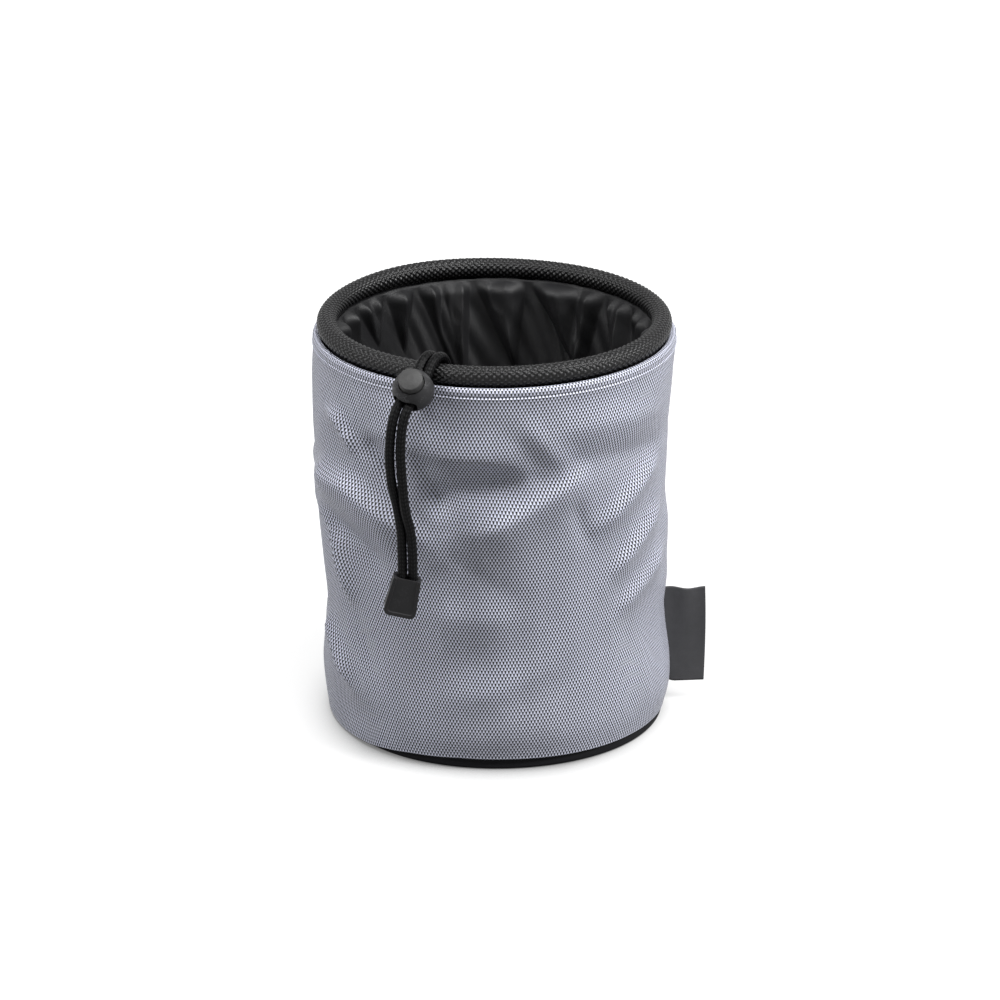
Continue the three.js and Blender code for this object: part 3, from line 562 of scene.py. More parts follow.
def smooth_route(route, step):
    """Evenly spaced points in metres on the smooth curve through a route in mm."""
    points = np.array(route) * MM
    ends = np.vstack([2 * points[0] - points[1], points, 2 * points[-1] - points[-2]])
    steps_between = 40
    t = np.linspace(0, 1, steps_between, endpoint=False)[:, None]
    stretches = []
    for p0, p1, p2, p3 in zip(ends, ends[1:], ends[2:], ends[3:]):
        d0, d1, d2 = (np.linalg.norm(b - a) ** 0.5 for a, b in ((p0, p1), (p1, p2), (p2, p3)))
        leave = ((p1 - p0) / d0 - (p2 - p0) / (d0 + d1) + (p2 - p1) / d1) * d1
        arrive = ((p2 - p1) / d1 - (p3 - p1) / (d1 + d2) + (p3 - p2) / d2) * d1
        stretches.append(
            (2 * t**3 - 3 * t**2 + 1) * p1
            + (t**3 - 2 * t**2 + t) * leave
            + (3 * t**2 - 2 * t**3) * p2
            + (t**3 - t**2) * arrive
        )
    curve = np.vstack([*stretches, points[-1:]])
    travelled = np.concatenate([[0], np.cumsum(np.linalg.norm(np.diff(curve, axis=0), axis=1))])
    places = np.linspace(0, travelled[-1], round(travelled[-1] / step) + 1)
    return np.stack([np.interp(places, travelled, curve[:, k]) for k in range(3)], axis=1)


def tube_frames(centres):
    """Two directions across a tube at each of its centres, carried along it without twist."""
    along = np.gradient(centres, axis=0)
    along /= np.linalg.norm(along, axis=1, keepdims=True)
    askew = (0.3, 0.2, 0.93)
    side = np.cross(along[0], askew)
    sides = []
    for direction in along:
        side = side - direction * side.dot(direction)
        side = side / np.linalg.norm(side)
        sides.append(side)
    sides = np.array(sides)
    return sides, np.cross(along, sides)


def tube_points(centres, turn, radius):
    """Points of a tube in rows along its centres and columns at its turns, at radius[row, column]."""
    side, up = tube_frames(centres)
    around = side[:, None] * np.cos(turn)[None, :, None] + up[:, None] * np.sin(turn)[None, :, None]
    return centres[:, None] + radius[..., None] * around


def braided_cord(name, centres, braid):
    """A round braided cord with closed ends, and its stitches' relief."""
    columns = braid.cord_columns * CORD_SAMPLES
    step = np.linalg.norm(centres[1] - centres[0])
    turn = np.arange(columns) / columns
    along = np.arange(len(centres))[:, None] * step / braid.cord_pitch
    relief = herringbone(turn[None, :] * braid.cord_columns, along, slant=0.7)
    radius = braid.cord_radius - braid.cord_relief * (1 - relief)
    radius[[0, -1]] = 0
    points = tube_points(centres, turn * TURN, radius)
    piece = grid_piece(name, points, lap(columns), along[:, 0] / along[-1, 0])
    add_relief(piece, relief)
    merge_doubles(piece)
    return piece


# Materials

class Nodes:
    """A node tree in the making, with short calls for the nodes that it takes."""

    def __init__(self, tree):
        self.tree = tree

    def feed(self, socket, source):
        """Links a socket to a source, or sets it to a number or colour."""
        if isinstance(source, bpy.types.NodeSocket):
            self.tree.links.new(source, socket)
        elif source is not None:
            socket.default_value = source

    def node(self, kind, *sources, **settings):
        """Adds a node, sets it, and feeds its inputs in order."""
        node = self.tree.nodes.new(f"ShaderNode{kind}")
        for name, value in settings.items():
            setattr(node, name, value)
        for socket, source in zip(node.inputs, sources):
            self.feed(socket, source)
        return node

    def math(self, operation, *sources):
        return self.node("Math", *sources, operation=operation).outputs[0]

    def span(self, value, low, high, to_low=0.0, to_high=1.0):
        return self.node("MapRange", value, low, high, to_low, to_high).outputs[0]

    def seen(self):
        """1 where the camera sees it, straight or in a gloss or a glass, and 0 where only light does."""
        path = self.node("LightPath")
        shown = path.outputs["Is Camera Ray"]
        for ray in ("Is Glossy Ray", "Is Transmission Ray"):
            shown = self.math("MAXIMUM", shown, path.outputs[ray])
        return shown


class Finish(Nodes):
    """A material in the making."""

    def __init__(self, name, **sockets):
        self.material = bpy.data.materials.new(name)
        self.material.use_nodes = True
        super().__init__(self.material.node_tree)
        self.shader = self.tree.nodes["Principled BSDF"]
        for socket in self.shader.inputs:
            key = socket.name.lower().replace(" ", "_")
            if key in sockets:
                socket.default_value = sockets[key]

    def place(self):
        """Object coordinates."""
        return self.node("TexCoord").outputs["Object"]

    def cloth_axes(self, across, along):
        """The two axes of the piece's own map, counted in yarns."""
        split = self.node("SeparateXYZ", self.node("UVMap", uv_map="cloth").outputs[0])
        u, v = split.outputs[0], split.outputs[1]
        return self.math("MULTIPLY", u, across), self.math("MULTIPLY", v, along)

    def noise(self, vector, scale, detail=2.0):
        return self.node("TexNoise", vector, None, scale, detail).outputs[0]

    def stretched(self, vector, *scale):
        """A vector scaled by axis."""
        return self.node("Mapping", vector, None, None, scale).outputs[0]

    def mix(self, factor, low, high):
        node = self.node("Mix", data_type="RGBA")
        for index, source in ((0, factor), (6, low), (7, high)):
            self.feed(node.inputs[index], source)
        return node.outputs[2]

    def bump(self, height, distance, strength=1.0):
        node = self.node("Bump")
        self.feed(node.inputs["Strength"], strength)
        self.feed(node.inputs["Distance"], distance)
        self.feed(node.inputs["Height"], height)
        self.feed(self.shader.inputs["Normal"], node.outputs[0])

    def paint(self, source):
        self.feed(self.shader.inputs["Base Color"], source)

    def roughen(self, source):
        self.feed(self.shader.inputs["Roughness"], source)


def shade(rgb, factor=1.0):
    """A colour as a shader takes it, darker or lighter by a factor."""
    return (*(min(1.0, channel * factor) for channel in rgb), 1.0)


def grey_weave(finishes, warps, wefts):
    """Plain weave of light upright yarns over dark level ones."""
    finish = Finish("plain_weave", roughness=0.62, sheen_weight=0.06, sheen_roughness=0.35)
    warp, weft = finish.cloth_axes(warps * math.pi, wefts * math.pi)
    wander = finish.noise(finish.place(), scale=90.0)
    warp = finish.math("ADD", warp, finish.span(wander, 0, 1, -0.5, 0.5))
    over = finish.span(finish.math("SINE", weft), -0.35, 0.35, -1, 1)
    crossing = finish.math("MULTIPLY", finish.math("SINE", warp), over)
    up_the_row = finish.math("FRACT", finish.math("DIVIDE", weft, math.pi))
    # Each light float is drawn widest at the foot of its row and narrows towards its top
    float_shape = finish.math("ADD", crossing, finish.span(up_the_row, 0, 1, 0.55, -0.75))
    light = finish.span(float_shape, -0.3, 0.3)
    mottle = finish.noise(finish.stretched(finish.place(), 60, 60, 25), scale=1.0, detail=3.0)
    tint = finish.mix(mottle, shade(finishes.light_yarn, 0.86), shade(finishes.light_yarn, 1.1))
    finish.paint(finish.mix(light, shade(finishes.dark_yarn), tint))
    finish.roughen(finish.span(light, 0, 1, 0.75, 0.5))
    finish.bump(finish.math("ABSOLUTE", crossing), distance=0.05 * MM, strength=0.6)
    return finish.material


def fine_cloth(name, rgb, warps, wefts, depth, **sockets):
    """Plain weave of one colour, finer than the eye sees from a step away."""
    finish = Finish(name, **sockets)
    warp, weft = finish.cloth_axes(warps * math.pi, wefts * math.pi)
    crossing = finish.math("MULTIPLY", finish.math("SINE", warp), finish.math("SINE", weft))
    mottle = finish.noise(finish.place(), scale=70.0, detail=4.0)
    body = finish.mix(mottle, shade(rgb, 0.75), shade(rgb, 1.3))
    finish.paint(finish.mix(finish.span(crossing, -1, 1), body, shade(rgb, 1.5)))
    middle, swing = sockets["roughness"], 0.06
    finish.roughen(finish.span(mottle, 0.3, 0.7, middle - swing, middle + swing))
    finish.bump(crossing, distance=depth, strength=0.6)
    return finish.material


def braided_yarn(name, rgb, specular, roughness):
    """Braided yarn: fine fibres along the stitches, with a painted highlight on the crowns and painted shade
    between the stitches.
    """
    finish = Finish(name, specular_ior_level=specular)
    relief = finish.node("Attribute", attribute_name="relief").outputs["Fac"]
    fibres = finish.noise(finish.place(), scale=5200.0, detail=3.0)
    # The crown colour, up to one and a half times the yarn's, is a painted highlight that the fibres vary
    crown = finish.mix(fibres, shade(rgb, 0.6), shade(rgb, 1.5))
    # Painted shade in the hollows between stitches at a tenth of the colour, and the painted highlight on the
    # crowns
    finish.paint(finish.mix(finish.span(relief, 0.72, 1.0), shade(rgb, 0.1), crown))
    swing = 0.05
    finish.roughen(finish.span(fibres, 0.3, 0.7, roughness - swing, roughness + swing))
    finish.bump(fibres, distance=0.015 * MM, strength=0.6)
    return finish.material


def moulded_plastic(name, rgb, specular, scuff):
    """Dark plastic with a fine matte grain and handling marks, lighter by a factor where it is scuffed."""
    finish = Finish(name, specular_ior_level=specular)
    grain = finish.noise(finish.place(), scale=4200.0, detail=2.0)
    marks = finish.noise(finish.place(), scale=260.0, detail=5.0)
    body = finish.mix(marks, shade(rgb, 0.8), shade(rgb, 1.25))
    large = finish.noise(finish.place(), scale=190.0, detail=3.0)
    small = finish.noise(finish.place(), scale=1500.0, detail=4.0)
    patches = finish.math("MULTIPLY", large, small)
    finish.paint(finish.mix(finish.span(patches, 0.27, 0.38), body, shade(rgb, scuff)))
    finish.roughen(finish.span(marks, 0.3, 0.7, 0.36, 0.5))
    finish.bump(grain, distance=0.03 * MM, strength=0.5)
    return finish.material


def extruded_board(finishes):
    """Plain plastic with faint lines of the extrusion."""
    finish = Finish("extruded_board", roughness=0.6)
    lines = finish.noise(finish.stretched(finish.place(), 90, 2400, 90), scale=1.0, detail=3.0)
    finish.paint(finish.mix(lines, shade(finishes.board, 0.8), shade(finishes.board, 1.2)))
    finish.bump(lines, distance=0.04 * MM, strength=0.5)
    return finish.material


def spring_steel(finishes):
    """Drawn wire."""
    finish = Finish("drawn_wire", metallic=1.0, roughness=0.3)
    lines = finish.noise(finish.stretched(finish.place(), 800, 800, 9000), scale=1.0, detail=2.0)
    finish.paint(finish.mix(lines, shade(finishes.steel, 0.8), shade(finishes.steel)))
    finish.roughen(finish.span(lines, 0.3, 0.7, 0.22, 0.4))
    return finish.material


def woven_tape(finishes, warps, wefts):
    """Flat woven tape with fine level ribs, and painted shade between them."""
    finish = Finish("woven_tape", roughness=0.7, specular_ior_level=0.15)
    warp, weft = finish.cloth_axes(warps * math.pi, wefts * math.pi)
    ribs = finish.math("ABSOLUTE", finish.math("SINE", weft))
    threads = finish.math("ABSOLUTE", finish.math("SINE", warp))
    height = finish.math("MULTIPLY", ribs, finish.span(threads, 0, 1, 0.6, 1.0))
    mottle = finish.noise(finish.place(), scale=300.0, detail=4.0)
    body = finish.mix(mottle, shade(finishes.label, 0.85), shade(finishes.label, 1.2))
    # Painted shade: darker between the ribs and threads
    finish.paint(finish.mix(height, shade(finishes.label, 0.55), body))
    finish.bump(height, distance=0.08 * MM, strength=0.7)
    return finish.material


def satin(context):
    """The black lining cloth, shared by the lining, the collar and its channel."""
    name = "lining_satin"
    if name in bpy.data.materials:
        return bpy.data.materials[name]
    finishes = context.scene.pegbag_finishes
    weave = {"warps": 900, "wefts": 360, "depth": 0.04 * MM}
    return fine_cloth(name, finishes.satin, **weave, roughness=0.42, specular_ior_level=0.21)


# Operators

class PegBagOperator(bpy.types.Operator):
    """What the operators share."""

    bl_options = {"REGISTER", "UNDO"}


class PEGBAG_OT_stage(PegBagOperator):
    """Adds the floor, the lights and the camera."""

    bl_idname = "pegbag.stage"
    bl_label = "Stage"

    def execute(self, context):
        stage = context.scene.pegbag_stage
        self.floor()
        self.light("key_light", (1.6, -0.55, 1.6), 0.8, stage.key_power)
        self.light("fill_light", (-1.6, -0.55, 1.5), 0.9, stage.fill_power)
        self.light("top_light", (0.15, -0.55, 2.0), 1.0, stage.top_power)
        self.world(context)
        self.camera(context, stage)
        context.scene.view_settings.view_transform = "Standard"
        return {"FINISHED"}

    def floor(self):
        floor_side = 12
        floor = primitive("grid", x_subdivisions=2, y_subdivisions=2, size=floor_side)
        floor.name = "floor"
        finish = Finish("floor", roughness=0.9, specular_ior_level=0.1)
        speckle = finish.noise(finish.place(), scale=40.0)
        pale = finish.mix(speckle, (0.19, 0.19, 0.191, 1), (0.2, 0.2, 0.201, 1))
        finish.paint(pale)
        away = finish.node("VectorMath", finish.place(), operation="LENGTH").outputs["Value"]
        # White from 0.4 m out, and a little darker round the bag
        shown = finish.math("MULTIPLY", finish.seen(), finish.span(away, 0.12, 0.4, 0.83, 1.0))
        lit = finish.math("SUBTRACT", 1.0, self.contact_shadow(finish))
        self.lift(finish, finish.math("MULTIPLY", shown, lit))
        floor.data.materials.append(finish.material)

    def contact_shadow(self, finish):
        """How dark the floor is close to the base, from 0 to 1: deepest a little left of the middle."""
        reach, darkest = 36 * MM, 0.85
        near = finish.node("AmbientOcclusion", samples=16)
        near.inputs["Distance"].default_value = reach
        across = finish.node("SeparateXYZ", finish.place()).outputs[0]
        left = finish.span(across, -0.095, -0.06, 0.3, 3.0)
        right = finish.span(across, 0.03, 0.085, 1.0, 0.1)
        depth = finish.math("MULTIPLY", left, right)
        hidden = finish.math("POWER", finish.math("SUBTRACT", 1.0, near.outputs["AO"]), 2.0)
        return finish.math("MINIMUM", finish.math("MULTIPLY", hidden, depth), darkest)

    def lift(self, finish, strength):
        """Shows the lit floor as white where it is seen, and keeps the shadow on it."""
        finish.shader.inputs["Emission Color"].default_value = (1, 1, 1, 1)
        finish.feed(finish.shader.inputs["Emission Strength"], strength)

    def light(self, name, place, size, power):
        data = bpy.data.lights.new(name, "AREA")
        data.shape = "DISK"
        data.size = size
        data.energy = power
        light = bpy.data.objects.new(name, data)
        light.location = place
        aim = Vector((0, 0, 0.1)) - light.location
        light.rotation_euler = aim.to_track_quat("-Z", "Y").to_euler()
        bpy.context.collection.objects.link(light)

    def world(self, context):
        world = bpy.data.worlds.new("studio")
        world.use_nodes = True
        studio = Nodes(world.node_tree)
        background = world.node_tree.nodes["Background"]
        background.inputs["Color"].default_value = (1, 1, 1, 1)
        soft_light, white = 0.12, 1.0
        studio.feed(background.inputs["Strength"], studio.span(studio.seen(), 0, 1, soft_light, white))
        context.scene.world = world

    def camera(self, context, stage):
        data = bpy.data.cameras.new("camera")
        data.lens = stage.camera_lens
        data.sensor_width = 36
        camera = bpy.data.objects.new("camera", data)
        pitch = stage.camera_pitch
        back = Vector((0, -math.cos(pitch), math.sin(pitch)))
        camera.location = Vector(stage.target) + back * stage.camera_distance
        camera.rotation_euler = (math.pi / 2 - pitch, 0, 0)
        bpy.context.collection.objects.link(camera)
        context.scene.camera = camera


def cord_slot(fittings, low, high, length, room=0.0):
    """A slot with round ends for the two cords, along its own Y, wider all round by its room."""
    tool = primitive("cube", size=1, location=(0, 0, (low + high) / 2))
    tool.scale = ((fittings.slot_half_width + room) * 2, length, high - low + 2 * room)
    bpy.ops.object.transform_apply(location=False, rotation=False, scale=True)
    nearly_round = fittings.slot_half_height * 0.98
    bevel_edges(tool, lambda a, b: abs(a.y - b.y) > length / 2, nearly_round, segments=10)
    return tool


class PEGBAG_OT_cord_lock(PegBagOperator):
    """Models the ball of the cord lock, its button and its spring."""

    bl_idname = "pegbag.cord_lock"
    bl_label = "Cord lock"

    def execute(self, context):
        fittings = context.scene.pegbag_fittings
        finishes = context.scene.pegbag_finishes
        plastic = moulded_plastic("scuffed_plastic", finishes.ball, specular=0.09, scuff=2.4)
        # The button's plastic is painted lighter than the ball's: painted light on its up-facing face, with
        # scuffs of its own
        pushed = moulded_plastic("rubbed_plastic", finishes.button, specular=0.15, scuff=1.3)
        up = -Vector(JOINTS["button_press"]["axis"])
        across = up.cross(CORD_AIM).normalized()
        turned = Matrix((across, up.cross(across), up)).transposed().to_4x4()
        matrix = Matrix.Translation(LOCK_CENTRE) @ turned

        self.button_foot = -fittings.slot_half_height - BUTTON_WEB
        self.bore_floor = self.button_foot - fittings.button_travel - BUTTON_GAP
        ball = self.ball(fittings)
        settle(ball, "cord_lock_ball", matrix)
        dress(ball, plastic, "cord_lock", "black_plastic", "cord_lock_body")
        button = self.button(fittings)
        settle(button, "cord_lock_press", matrix)
        dress(button, pushed, "lock_button", "black_plastic", "cord_lock_button")
        spring = self.spring(fittings)
        settle(spring, "cord_lock_coil", matrix)
        dress(spring, spring_steel(finishes), "cord_lock", "spring_wire", "cord_lock_spring")
        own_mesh(spring)
        return {"FINISHED"}

    def post(self, radius, low, high, vertices=96):
        middle = (0, 0, (low + high) / 2)
        return primitive("cylinder", vertices=vertices, radius=radius, depth=high - low, location=middle)

    def ball(self, fittings):
        ball = primitive("uv_sphere", segments=96, ring_count=64, radius=fittings.ball_radius)
        past = fittings.ball_radius * 2
        half = fittings.slot_half_height
        carve(
            ball,
            self.post(fittings.button_radius + fittings.button_play, self.bore_floor, past),
            self.post(fittings.spring_radius + SPRING_ROOM, self.bore_floor - BALL_SEAT, past, vertices=48),
            cord_slot(fittings, -half, half, past * 2, fittings.mouth_room),
        )
        soften(ball, voxel=0.16 * MM, passes=10)
        return ball

    def button(self, fittings):
        foot = self.button_foot
        crown = sum(rise for _, rise in BUTTON_CROWN)
        button = self.post(fittings.button_radius, foot, fittings.button_top - crown)
        bpy.ops.object.transform_apply(location=True, rotation=False, scale=False)
        bpy.ops.object.mode_set(mode="EDIT")
        self.select_top(button)
        bpy.ops.mesh.bevel(offset=BUTTON_ROUND, segments=4, affect="EDGES")
        self.select_top(button)
        for inset, rise in BUTTON_CROWN:
            bpy.ops.mesh.inset(thickness=inset, depth=rise)
        bpy.ops.object.mode_set(mode="OBJECT")
        half = fittings.slot_half_height
        seat = fittings.spring_radius + SPRING_ROOM
        carve(
            button,
            cord_slot(fittings, -half, half + fittings.button_travel, fittings.button_radius * 4),
            self.post(seat, foot - BUTTON_SEAT, foot + BUTTON_SEAT, vertices=48),
        )
        soften(button, voxel=0.14 * MM, passes=6)
        return button

    def select_top(self, piece):
        bpy.ops.mesh.select_mode(type="FACE")
        shape = bmesh.from_edit_mesh(piece.data)
        top = max(vertex.co.z for vertex in shape.verts)
        for face in shape.faces:
            face.select = all(abs(vertex.co.z - top) < TINY for vertex in face.verts)
        shape.select_flush_mode()
        bmesh.update_edit_mesh(piece.data)

    def spring(self, fittings):
        low = self.bore_floor - BALL_SEAT + SPRING_ROOM
        high = self.button_foot + BUTTON_SEAT - SPRING_ROOM
        steps, sides = SPRING_TURNS * 48, 12
        angle = np.linspace(0, SPRING_TURNS * TURN, steps + 1)
        coil = fittings.spring_radius
        rise = np.linspace(low, high, steps + 1)
        centres = np.stack([coil * np.cos(angle), coil * np.sin(angle), rise], axis=1)
        radius = np.full((steps + 1, 1), fittings.wire_radius)
        radius[[0, -1]] = 0
        points = tube_points(centres, angles_round(sides), radius)
        piece = grid_piece("spring", points, lap(sides), np.linspace(0, 1, steps + 1))
        merge_doubles(piece)
        return piece


class PEGBAG_OT_cord_end(PegBagOperator):
    """Models the two halves of the cord end."""

    bl_idname = "pegbag.cord_end"
    bl_label = "Cord end"

    def execute(self, context):
        fittings = context.scene.pegbag_fittings
        black = context.scene.pegbag_finishes.cord_end
        plastic = moulded_plastic("moulded_plastic", black, specular=0.12, scuff=1.4)
        upright = Matrix.Rotation(math.pi / 2, 4, "X")
        matrix = Matrix.Translation(CORD_END_TOP) @ Matrix.Rotation(CORD_END_TILT, 4, "Y") @ upright
        slot_half = fittings.slot_half_height
        for name, side in (("front", 1), ("back", -1)):
            half = self.half(fittings, side)
            carve(half, cord_slot(fittings, -slot_half, slot_half, CORD_END_BORE))
            if side > 0:
                carve(half, self.panel(fittings))
            soften(half, voxel=0.15 * MM, passes=6)
            settle(half, f"cord_end_{name}_half", matrix)
            dress(half, plastic, "bag", "black_plastic", f"cord_end_{name}")
        return {"FINISHED"}

    def tapered(self, top_width, bottom_width, top, bottom, low, high, corner):
        """A block that widens towards its foot, with its two lower corners rounded."""
        block = primitive("cube", size=1, location=(0, (top + bottom) / 2, (low + high) / 2))
        block.scale = (bottom_width, top - bottom, high - low)
        bpy.ops.object.transform_apply(location=True, rotation=False, scale=True)
        for vertex in block.data.vertices:
            if vertex.co.y > (top + bottom) / 2:
                vertex.co.x *= top_width / bottom_width

        def at_foot(a, b):
            return max(a.y, b.y) < bottom + TINY and abs(a.z - b.z) > TINY

        bevel_edges(block, at_foot, corner, segments=8)
        return block

    def half(self, fittings, side):
        """The front half where side is 1, or the back half where it is -1, short of the split."""
        near, far = CORD_END_SPLIT, fittings.end_half_depth
        low, high = (near, far) if side > 0 else (-far, -near)
        return self.tapered(
            fittings.end_top_width,
            fittings.end_bottom_width,
            0,
            -fittings.end_length,
            low,
            high,
            CORD_END_ROUND,
        )

    def panel(self, fittings):
        """The sunken panel, open at its top and a little deeper towards its foot."""
        past = 3 * MM
        face = fittings.end_half_depth
        tool = self.tapered(
            fittings.end_top_width - 2 * PANEL_MARGIN,
            fittings.end_bottom_width - 2 * PANEL_MARGIN,
            past,
            PANEL_MARGIN - fittings.end_length,
            face - PANEL_DEPTH,
            face + past,
            PANEL_ROUND,
        )
        tool.rotation_euler.x = -PANEL_SLOPE
        return tool


class PEGBAG_OT_drawcord(PegBagOperator):
    """Braids the drawcord: the stretch in the channel and the two tails."""

    bl_idname = "pegbag.drawcord"
    bl_label = "Drawcord"

    def execute(self, context):
        braid = context.scene.pegbag_braid
        black = context.scene.pegbag_finishes.cord
        material = braided_yarn("cord_yarn", black, specular=0.06, roughness=0.38)
        rows_per_stitch = 6
        step = braid.cord_pitch / rows_per_stitch
        lock = ("cord_lock_ball", "cord_lock_press", "cord_lock_coil")
        end = ("cord_end_front_half", "cord_end_back_half")
        for side, route, on_it in (("left", LEFT_TAIL, lock), ("right", RIGHT_TAIL, end)):
            centres = smooth_route(route, step)
            tail = braided_cord(f"drawcord_{side}", centres, braid)
            dress(tail, material, "bag", "black_braid", f"drawcord_{side}_tail")
        ring = self.ring(braid)
        dress(ring, material, "bag", "black_braid", "drawcord_ring")
        return {"FINISHED"}

    def ring(self, braid):
        start = CHANNEL_MOUTH + CHANNEL_MOUTH_HALF
        end = CHANNEL_MOUTH - CHANNEL_MOUTH_HALF + TURN
        rows_per_stitch = 5
        steps = round((end - start) * CHANNEL_RADIUS / (braid.cord_pitch / rows_per_stitch))
        centres = round_points(np.linspace(start, end, steps), CHANNEL_RADIUS, CHANNEL_HEIGHT)
        return braided_cord("drawcord_in_channel", centres, braid)


def share_round(angle, middle, spread):
    """From 1 at an angle in degrees down to 0 away from it."""
    away = np.degrees((angle - math.radians(middle) + math.pi) % TURN - math.pi)
    return np.exp(-((away / spread) ** 2))


def share_up(height, middle, spread):
    """From 1 at a height in mm down to 0 away from it."""
    return np.exp(-(((height / MM - middle) / spread) ** 2))


def share_at(place, angle, height):
    """From 1 at a place on the wall down to 0 away from it."""
    round_it = share_round(angle, place.angle, place.angle_spread)
    return round_it * share_up(height, place.height, place.height_spread)


def corner_share(angle):
    """How far the lower left corner is drawn in at an angle, from 0 to 1."""
    return share_round(angle, middle=-66, spread=26)


def rim_share(height):
    """How much of the rim's shift a height takes part in."""
    return smoothstep(130 * MM, LIP_TOP - 6 * MM, height)


def fold_height(angle, height):
    """How far the folds push the cloth out, in metres, at angles and heights on the wall."""
    blend, tapered_end, least, steepness = 1.5, 0.3, 0.2, 1.7
    total = np.zeros(np.broadcast(angle, height).shape)
    reach = MOUTH_RADIUS / MM
    z = height / MM
    for fold in FOLDS:
        route = np.array(fold.route, float)
        middle = math.radians(route[:, 0].mean())
        x = reach * ((angle - middle + math.pi) % TURN - math.pi)
        line = np.stack([reach * (np.radians(route[:, 0]) - middle), route[:, 1]], axis=1)
        lengths = np.linalg.norm(np.diff(line, axis=0), axis=1)
        nearest = np.full(total.shape, np.inf)
        place = np.zeros(total.shape)
        side = np.zeros(total.shape)
        for a, b, size, before in zip(line, line[1:], lengths, np.cumsum(lengths) - lengths):
            run, rise = (b - a) / size
            t = np.clip(((x - a[0]) * run + (z - a[1]) * rise) / size, 0, 1)
            gap = np.hypot(x - a[0] - t * size * run, z - a[1] - t * size * rise)
            closer = gap < nearest
            place = np.where(closer, (before + t * size) / lengths.sum(), place)
            side = np.where(closer, (z - a[1]) * run - (x - a[0]) * rise, side)
            nearest = np.where(closer, gap, nearest)
        width = fold.right + (fold.left - fold.right) * smoothstep(-blend, blend, side)
        full = smoothstep(0, tapered_end, place) * smoothstep(0, tapered_end, 1 - place)
        fade = full * (1 - least) + least
        total += fold.rise * fade * np.exp(-((nearest / width) ** steepness))
    return total * MM


def ripples(angle, height):
    """Slight unevenness all over the wall."""
    z = height / MM
    slow = np.sin(5 * angle + 0.031 * z) * np.sin(0.045 * z + 2 * angle + 0.7)
    quick = np.sin(17 * angle - 0.07 * z + 1.3) * np.sin(0.11 * z + 7 * angle)
    slow_depth, quick_depth = 0.55 * MM, 0.18 * MM
    return slow_depth * slow + quick_depth * quick


def wall_push(cloth, angle, height):
    """How far the outer cloth stands out of its round outline."""
    loose = smoothstep(HEM_HEIGHT + 3 * MM, 30 * MM, height) * (
        1 - smoothstep(LIP_TOP - 14 * MM, LIP_TOP - 5 * MM, height)
    )
    push = (fold_height(angle, height) * cloth.fold_scale + ripples(angle, height)) * loose
    push -= cloth.corner_tuck * corner_share(angle) * (1 - smoothstep(8 * MM, 42 * MM, height))
    push -= cloth.belly_tuck * share_at(LEFT_BELLY, angle, height)
    push -= cloth.ball_dent * share_at(BEHIND_BALL, angle, height)
    return push + cloth.side_belly * share_at(RIGHT_BELLY, angle, height)


def leaning(height):
    """The wall's lean, from the base to its most at two thirds of the height, and none at the lip."""
    return 0.3 + 0.7 * smoothstep(30 * MM, 125 * MM, height) - smoothstep(140 * MM, LIP_TOP - 4 * MM, height)


def wall_profile():
    """Points on the wall's round outline, with radius first and height last."""
    return smooth_route([(radius, 0, height) for radius, height in WALL], step=1 * MM)


